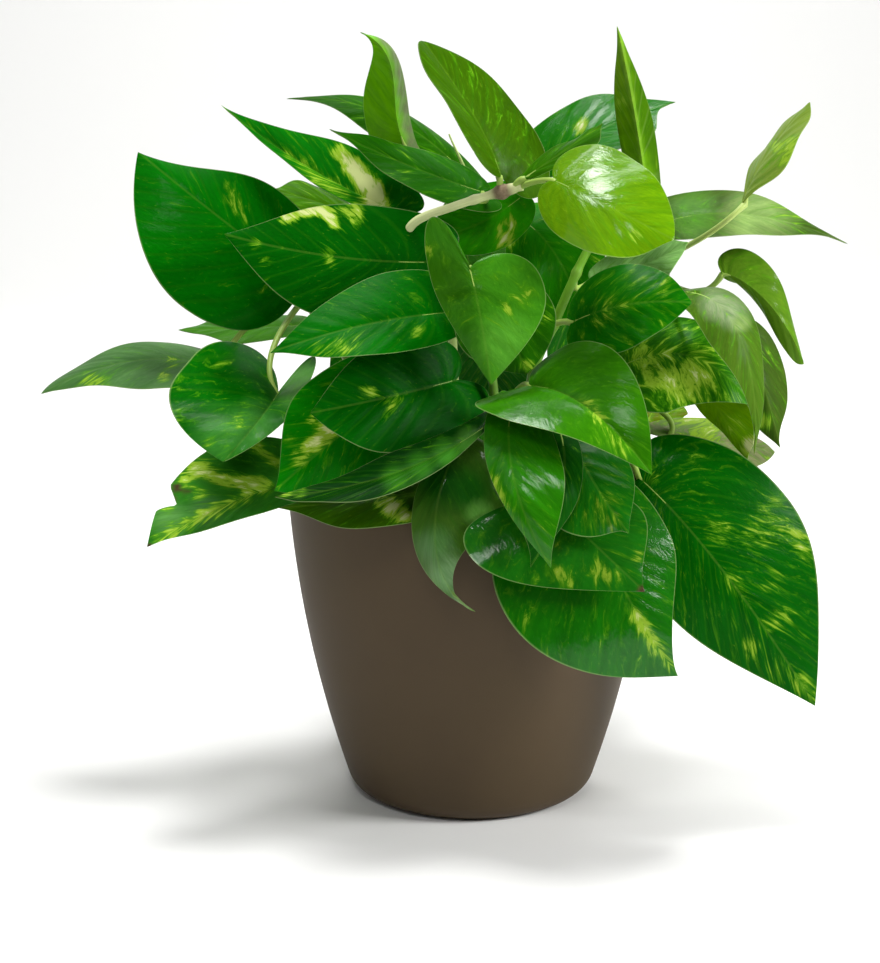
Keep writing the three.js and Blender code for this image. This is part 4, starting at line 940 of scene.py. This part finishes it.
def blade_shell(leaf, phase):
    """Closed blade: the surface's grid moved out by half the thickness to either side, which
    thins to the margin with the fourth power of the strip.

    The upper side dips at the midrib and at the side veins, the underside has the midrib
    as a ridge. Returns vertices, faces and which of them are on the underside, and for each
    vertex the mm across, the mm up the midrib where its side vein starts, and how near it is
    to the margin, from 0 at the midrib to 1.
    """
    step = (np.arange(1, blade_rows) / blade_rows)[:, None]
    strip = np.linspace(1, -1, 2 * blade_strips + 1)[None]
    strip = np.sign(strip) * np.abs(strip) ** strip_gathering
    grid = np.broadcast_to(step, (blade_rows - 1, strip.shape[1]))
    strips = np.broadcast_to(strip, grid.shape)
    point, across, out = blade_surface(leaf, grid, strips, phase)
    rib = see(leaf["rib"])
    length = walked(along_rib(rib, np.linspace(0, 1, rib_samples)))[-1]
    vein = length * grid - vein_slant * np.abs(across)
    normal = unit(np.cross(np.gradient(point, axis=0), np.gradient(point, axis=1)))
    normal = normal * np.sign((normal * out).sum())
    far = np.abs(strips)
    ends = np.clip(np.minimum(grid, 1 - grid) * end_fade, 0, 1)
    half = (blade_thickness + (margin_thickness - blade_thickness) * far ** 4) / 2
    groove = np.exp(-(across / rib_width) ** 2) * ends
    quilt = np.cos(2 * np.pi * vein / vein_spacing) * np.clip(quilt_fade * far * (1 - far), 0, 1)
    quilt = vein_relief * quilt * ends
    upper = point + normal * (half - groove_depth * groove - quilt)[..., None]
    lower = point - normal * (half + rib_height * groove + quilt)[..., None]
    poles = [rib[0], along_rib(rib, 1.0)]
    columns = strips.shape[1]
    rows = blade_rows - 1
    count = rows * columns
    vertices = np.concatenate([upper.reshape(-1, 3), lower.reshape(-1, 3), poles])
    row = columns * np.arange(rows - 1)[:, None]
    k = np.arange(columns - 1)
    quads = np.stack([row + k, row + k + 1, row + columns + k + 1, row + columns + k], axis=-1)
    last = columns * (rows - 1)
    first_fan = np.stack([np.full(columns - 1, 2 * count), k + 1, k], axis=-1)
    last_fan = np.stack([last + k, last + k + 1, np.full(columns - 1, 2 * count + 1)], axis=-1)
    above = [quads.reshape(-1, 4), first_fan, last_fan]
    below = [np.where(part < 2 * count, part + count, part)[:, ::-1] for part in above]
    border = [np.arange(rows) * columns, np.arange(rows) * columns + columns - 1]
    rim = []
    for line, flip in zip(border, (False, True)):
        wall = np.stack([line[:-1], line[1:], line[1:] + count, line[:-1] + count], axis=-1)
        rim.append(wall[:, ::-1] if flip else wall)
    ends_of = [[2 * count, 0, count], [2 * count, count + columns - 1, columns - 1],
               [2 * count + 1, last + count, last],
               [2 * count + 1, last + columns - 1, last + columns - 1 + count]]
    faces = [face for part in above + below + rim for face in part.tolist()] + ends_of
    a_side = sum(len(part) for part in above)
    material = np.zeros(len(faces), int)
    material[a_side:2 * a_side] = 1
    measures = np.stack([across, vein, far]).reshape(3, -1)
    across, vein, far = np.concatenate([measures, measures, [[0, 0], [0, length], [0, 0]]], axis=1)
    return vertices, faces, material, across, vein, far


def stalk_path(leaf):
    """Points and radii of the stalk, from the stem over its way point to the notch and on
    under the midrib. It sinks by its radius at the notch, with the sixth power of the share,
    and is swollen at the joint by a bell curve of the mm to the blade."""
    rib = see(leaf["rib"])
    start = smooth_line(stem_points(stems[leaf["stem"]]), np.array([leaf["at"]]))[0]
    arch = np.array([0, 0, stalk_arch * np.linalg.norm(rib[0] - start)])
    via = see(leaf["via"]) if "via" in leaf else (start + rib[0]) / 2 + arch
    share = np.linspace(0, 1, stalk_rings)
    points = along_rib(np.array([start, via, rib[0]]), share)
    stem_here = stem_radius + (stem_tip_radius - stem_radius) * leaf["at"]
    sheath = min(sheath_radius, sheath_share * stem_here)
    radii = sheath + (stalk_radius - sheath) * np.sqrt(share)
    to_blade = (1 - share) * np.linalg.norm(rib[0] - start)
    joint = joint_swelling * np.exp(-(to_blade / joint_length) ** 2)
    tail = np.linspace(stalk_radius, stalk_end_radius, len(run_on))
    out = blade_surface(leaf, run_on, np.zeros(len(run_on)), 0)[2]
    under_rib = along_rib(rib, run_on) - out * tail[:, None]
    points = points - out[0] * (stalk_radius * share ** 6)[:, None]
    return np.concatenate([points, under_rib]), np.concatenate([radii + joint, tail])


def nearness(points, places, end):
    """How near each point is, as seen, to each place of a column, a row and a reach in
    pixels: end minus the distance in reaches, cut off at 0 and 1."""
    column, row = seen(points)
    return [np.clip(end - np.hypot(column - place[0], row - place[1]) / place[2], 0, 1)
            for place in places]


def marked(leaf, points):
    """Amount of cream at each point: the leaf's own plus each mark's strength times nearness."""
    marks = leaf.get("marks", [])
    amount = np.full(len(points), leaf.get("cream", 0.0))
    for mark, near in zip(marks, nearness(points, marks, mark_end)):
        amount += mark[3] * near
    return amount


def green_with_painted_shading(leaf, points):
    """Colour of the green at each point: the leaf's own, turned by nearness to each painted
    shade, which paints shadow, sheen or a lit side onto the leaf.
    """
    painted_shades = leaf.get("painted_shades", [])
    green = np.tile(linear(leaf["green"]), (len(points), 1))
    for shade, near in zip(painted_shades, nearness(points, painted_shades, painted_shade_end)):
        green += (linear(shade[3]) - green) * near[:, None]
    return green


def dried(leaf, points):
    """How dry and brown each point is: the greatest nearness to a dried place."""
    return np.max([np.zeros(len(points)), *nearness(points, leaf.get("dry", []), dry_end)], axis=0)


# The skin's patterns are laid out in mm: how far across the leaf a point is, and how far up
# the midrib its side vein starts. A streak follows the side veins and is longer than wide,
# and a cloud is as large as a few streaks.
mark_length = 7.5
mark_width = 3
sway_length = 11
sway_reach = 9
fleck_size = 1.7
clouds_to_streak = 0.3
light_green, yellow_green, cream = "#52990c", "#9cc234", "#d2db92"


def skin_nodes(tree, underside):
    """Node tree of a leaf's skin, upper or under: green with light streaks along the side
    veins, yellow-green and then cream where streaks and marks add up, fine flecks, a midrib
    and a pale margin line, dry brown places."""
    lamina = add_node(tree, "ShaderNodeUVMap", uv_map="lamina").outputs["UV"]
    read = {name: add_node(tree, "ShaderNodeAttribute", attribute_name=name)
            for name in ("green", "cream", "pale", "across", "edge", "dry", "wax")}
    sway = add_node(tree, "ShaderNodeTexNoise", {
        "Vector": lamina, "Scale": 1 / sway_length, "Detail": 2.0})
    swayed = add_node(tree, "ShaderNodeVectorMath", {
        0: sway.outputs["Color"], 1: (sway_reach, sway_reach, 0), 2: lamina},
        operation="MULTIPLY_ADD")
    lay = add_node(tree, "ShaderNodeMapping", {
        "Vector": swayed.outputs["Vector"],
        "Scale": (1 / mark_length, 1 / mark_width, 1)}).outputs["Vector"]
    streaks = add_node(tree, "ShaderNodeTexNoise", {
        "Vector": lay, "Scale": 1.0, "Detail": 7.0, "Roughness": 0.7, "Distortion": 0.4})
    flecks = add_node(tree, "ShaderNodeTexNoise", {
        "Vector": swayed.outputs["Vector"], "Scale": 1 / fleck_size, "Detail": 3.0,
        "Roughness": 0.6})
    cloud = add_node(tree, "ShaderNodeTexNoise", {
        "Vector": lay, "Scale": clouds_to_streak, "Detail": 4.0, "Roughness": 0.6})
    # A wave texture at scale 1 repeats every pi / 10
    veins = add_node(tree, "ShaderNodeTexWave", {
        "Vector": lamina, "Scale": np.pi / 10 / vein_spacing, "Distortion": 0.5, "Detail": 1.0,
        "Detail Scale": 0.5}, bands_direction="Y")
    ragged = add_node(tree, "ShaderNodeMapRange", {
        "Value": streaks.outputs["Fac"], "From Min": 0.24, "From Max": 0.76, "To Min": -0.12},
        clamp=False)
    total = add_node(tree, "ShaderNodeMath", {
        0: ragged.outputs["Result"], 1: read["cream"].outputs["Fac"]}, operation="ADD")
    from_rib = add_node(tree, "ShaderNodeMath", {
        0: read["across"].outputs["Fac"]}, operation="ABSOLUTE")

    # Light and dark: broad clouds, then fine flecks, both multiply the leaf's own green
    skin = read["green"].outputs["Color"]
    for value, dark, bright in ((cloud, (0.35, 0.5, 0.4, 1), (1.7, 1.5, 1.6, 1)),
                                (flecks, (0.6, 0.72, 0.6, 1), (1.45, 1.28, 1.45, 1))):
        shade = add_node(tree, "ShaderNodeMix", {
            "Factor": value.outputs["Fac"], "A": dark, "B": bright}, data_type="RGBA")
        skin = add_node(tree, "ShaderNodeMix", {
            "Factor": 1.0, "A": skin, "B": shade.outputs["Result"]},
            data_type="RGBA", blend_type="MULTIPLY").outputs["Result"]

    # Layers from the side veins up: what rules each, where it starts and is full, how much
    # it covers, and its colour, which in the streaks is as bright as the leaf's paleness says.
    # That paleness is painted light: brighter streaks on leaves in shade, darker on lit ones.
    layers = [
        (veins.outputs["Fac"], 0.14, 0.0, 0.08 if underside else 0.16,
         "#a9bf6a" if underside else "#2c7008"),
        (total.outputs["Value"], 0.5, 0.84, 0.6, light_green),
        (total.outputs["Value"], 0.74, 1.0, 0.9, yellow_green),
        (total.outputs["Value"], 1.06, 1.36, 1.0, cream),
        (flecks.outputs["Fac"], 0.64, 0.76, 0.22, "#8fb02a"),
        (from_rib.outputs["Value"], 0.8, 0.2, 0.3 if underside else 0.08, "#8fb845"),
        (read["edge"].outputs["Fac"], 0.98, 1.0, 0.35, "#a9c07c"),
        (read["dry"].outputs["Fac"], 0.0, 1.0, 1.0, "#4a3a28"),
    ]
    for value, start, full, cover, code in layers:
        mask = add_node(tree, "ShaderNodeMapRange", {
            "Value": value, "From Min": start, "From Max": full, "To Max": cover},
            interpolation_type="SMOOTHSTEP")
        colour = linear(code)
        if code in (light_green, yellow_green, cream):
            colour = add_node(tree, "ShaderNodeVectorMath", {
                0: colour[:3], "Scale": read["pale"].outputs["Fac"]},
                operation="SCALE").outputs["Vector"]
        skin = add_node(tree, "ShaderNodeMix", {
            "Factor": mask.outputs["Result"], "A": skin, "B": colour},
            data_type="RGBA").outputs["Result"]

    relief = add_node(tree, "ShaderNodeBump", {
        "Height": veins.outputs["Fac"], "Strength": 0.25 if underside else 0.12,
        "Distance": 0.0005})
    relief = add_node(tree, "ShaderNodeBump", {
        "Height": flecks.outputs["Fac"], "Strength": 0.3, "Distance": 0.0005,
        "Normal": relief.outputs["Normal"]}).outputs["Normal"]
    gloss = add_node(tree, "ShaderNodeMapRange", {
        "Value": cloud.outputs["Fac"], "To Min": 0.5 if underside else 0.3,
        "To Max": 0.7 if underside else 0.42})
    shader = add_node(tree, "ShaderNodeBsdfPrincipled", {
        "Base Color": skin, "Roughness": gloss.outputs["Result"], "Normal": relief,
        "Coat Normal": relief, "IOR": 1.45, "Specular IOR Level": 0.025,
        "Coat Weight": 0.0 if underside else read["wax"].outputs["Fac"], "Coat Roughness": 0.09})
    add_node(tree, "ShaderNodeOutputMaterial", {"Surface": shader.outputs["BSDF"]})


# Waxy pothos leaf: a thick green skin under a glossy wax cuticle, with broad soft lights.
waxy, tree = start_material("waxy_pothos_leaf")
skin_nodes(tree, False)
# Pothos leaf underside: no wax, so it is dull and paler, with the veins raised.
dull_leaf, tree = start_material("pothos_leaf_underside")
skin_nodes(tree, True)

for index, (name, leaf) in enumerate(leaves.items()):
    blade, faces, side, across, vein, edge = blade_shell(leaf, index * next_leaf_wave)
    path, radii = stalk_path(leaf)
    stalk, stalk_faces, grain = tube(path, radii, stalk_sides)
    vertices = np.concatenate([blade, stalk])
    faces = faces + [[corner + len(blade) for corner in face] for face in stalk_faces]
    piece = smooth_mesh("pothos_" + name, vertices, faces)
    for skin in (waxy, dull_leaf, vine):
        piece.data.materials.append(skin)
    slots = np.concatenate([side, np.full(len(stalk_faces), 2)])
    piece.data.polygons.foreach_set("material_index", slots.astype(np.int32))
    rest = np.zeros(len(stalk))
    wax = leaf.get("wax", leaf_wax) * (1 - rib_wax_loss * np.exp(-(across / rib_width) ** 2))
    for kind, values in {"cream": marked(leaf, blade), "across": across, "edge": edge,
                         "dry": dried(leaf, blade), "wax": wax}.items():
        give(piece, kind, np.concatenate([values, rest]))
    # Paleness is painted light: it brightens the streaks of leaves in shade and dims lit ones.
    give(piece, "pale", np.full(len(vertices), leaf.get("pale", painted_streak_light)))
    give(piece, "grain", np.concatenate([np.zeros((len(blade), 3)), grain]))
    # The blade's green carries the painted shading: painted shadow, sheen and lit sides.
    give(piece, "green", np.concatenate([
        green_with_painted_shading(leaf, blade), np.tile(linear(leaf.get("stalk", stalk_green)), (len(stalk), 1))]))
    corners = np.empty(len(piece.data.loops), np.int32)
    piece.data.loops.foreach_get("vertex_index", corners)
    lamina = np.stack([np.append(across, rest), np.append(vein, rest)], axis=1)
    lamina += [0, index * next_leaf_streaks]
    piece.data.uv_layers.new(name="lamina").data.foreach_set(
        "uv", lamina[corners].ravel().astype(np.float32))
    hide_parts(name)
    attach(piece, "root")


# Studio
# The plant stands on a plain pale floor that bends up behind it into a wall. One soft box
# hangs on the right and one overhead. Weaker ones in front and on the left fill the
# shadows, the last one lights the wall behind, and the room itself is dim.
floor_reach = 5.0
sweep_start = 1.9
sweep_radius = 1.6
sweep_steps = 40
line = np.concatenate([
    [[-floor_reach, 0]],
    rounded((sweep_start, sweep_radius), sweep_radius, -np.pi / 2, 0, sweep_steps),
    [[sweep_start + sweep_radius, floor_reach]]])
ends = [np.insert(line, 0, x, axis=1) for x in (-floor_reach, floor_reach)]
k = np.arange(len(line) - 1)
strips = np.stack([k, k + len(line), k + len(line) + 1, k + 1], axis=1)
floor = smooth_mesh("studio_floor", np.concatenate(ends) * 1000, strips.tolist())
pale, tree = start_material("pale_studio_floor")
shader = add_node(tree, "ShaderNodeBsdfPrincipled", {
    "Base Color": linear("#fafaf8"), "Roughness": 0.8})
add_node(tree, "ShaderNodeOutputMaterial", {"Surface": shader.outputs["BSDF"]})
floor.data.materials.append(pale)

lamps = {
    "right_soft_box": dict(place=(1.35, -0.5, 0.85), aim=(0, 0, 0.15), size=0.5, power=24),
    "top_soft_box": dict(place=(-0.05, -0.1, 1.6), aim=(0, 0, 0.25), size=0.34, power=15),
    "front_soft_box": dict(place=(-0.15, -1.4, 1.4), aim=(0, 0, 0.2), size=0.3, power=5),
    "left_fill": dict(place=(-1.1, -1.1, 1.2), aim=(0, 0, 0.2), size=1.2, power=2.5),
    "backdrop_light": dict(place=(0, 0.9, 2.6), aim=(0, 3.2, 0.6), size=1.6, power=70),
}
for name, lamp in lamps.items():
    light = bpy.data.lights.new(name, "AREA")
    light.size = lamp["size"]
    light.energy = lamp["power"]
    box = bpy.data.objects.new(name, light)
    bpy.context.scene.collection.objects.link(box)
    box.location = lamp["place"]
    aim = Vector(lamp["aim"]) - Vector(lamp["place"])
    box.rotation_euler = aim.to_track_quat("-Z", "Y").to_euler()
room = bpy.data.worlds.new("light_room")
room.use_nodes = True
room.node_tree.nodes["Background"].inputs["Color"].default_value = linear("#ffffff")
room.node_tree.nodes["Background"].inputs["Strength"].default_value = 0.06
bpy.context.scene.world = room
bpy.context.scene.view_settings.view_transform = "Standard"
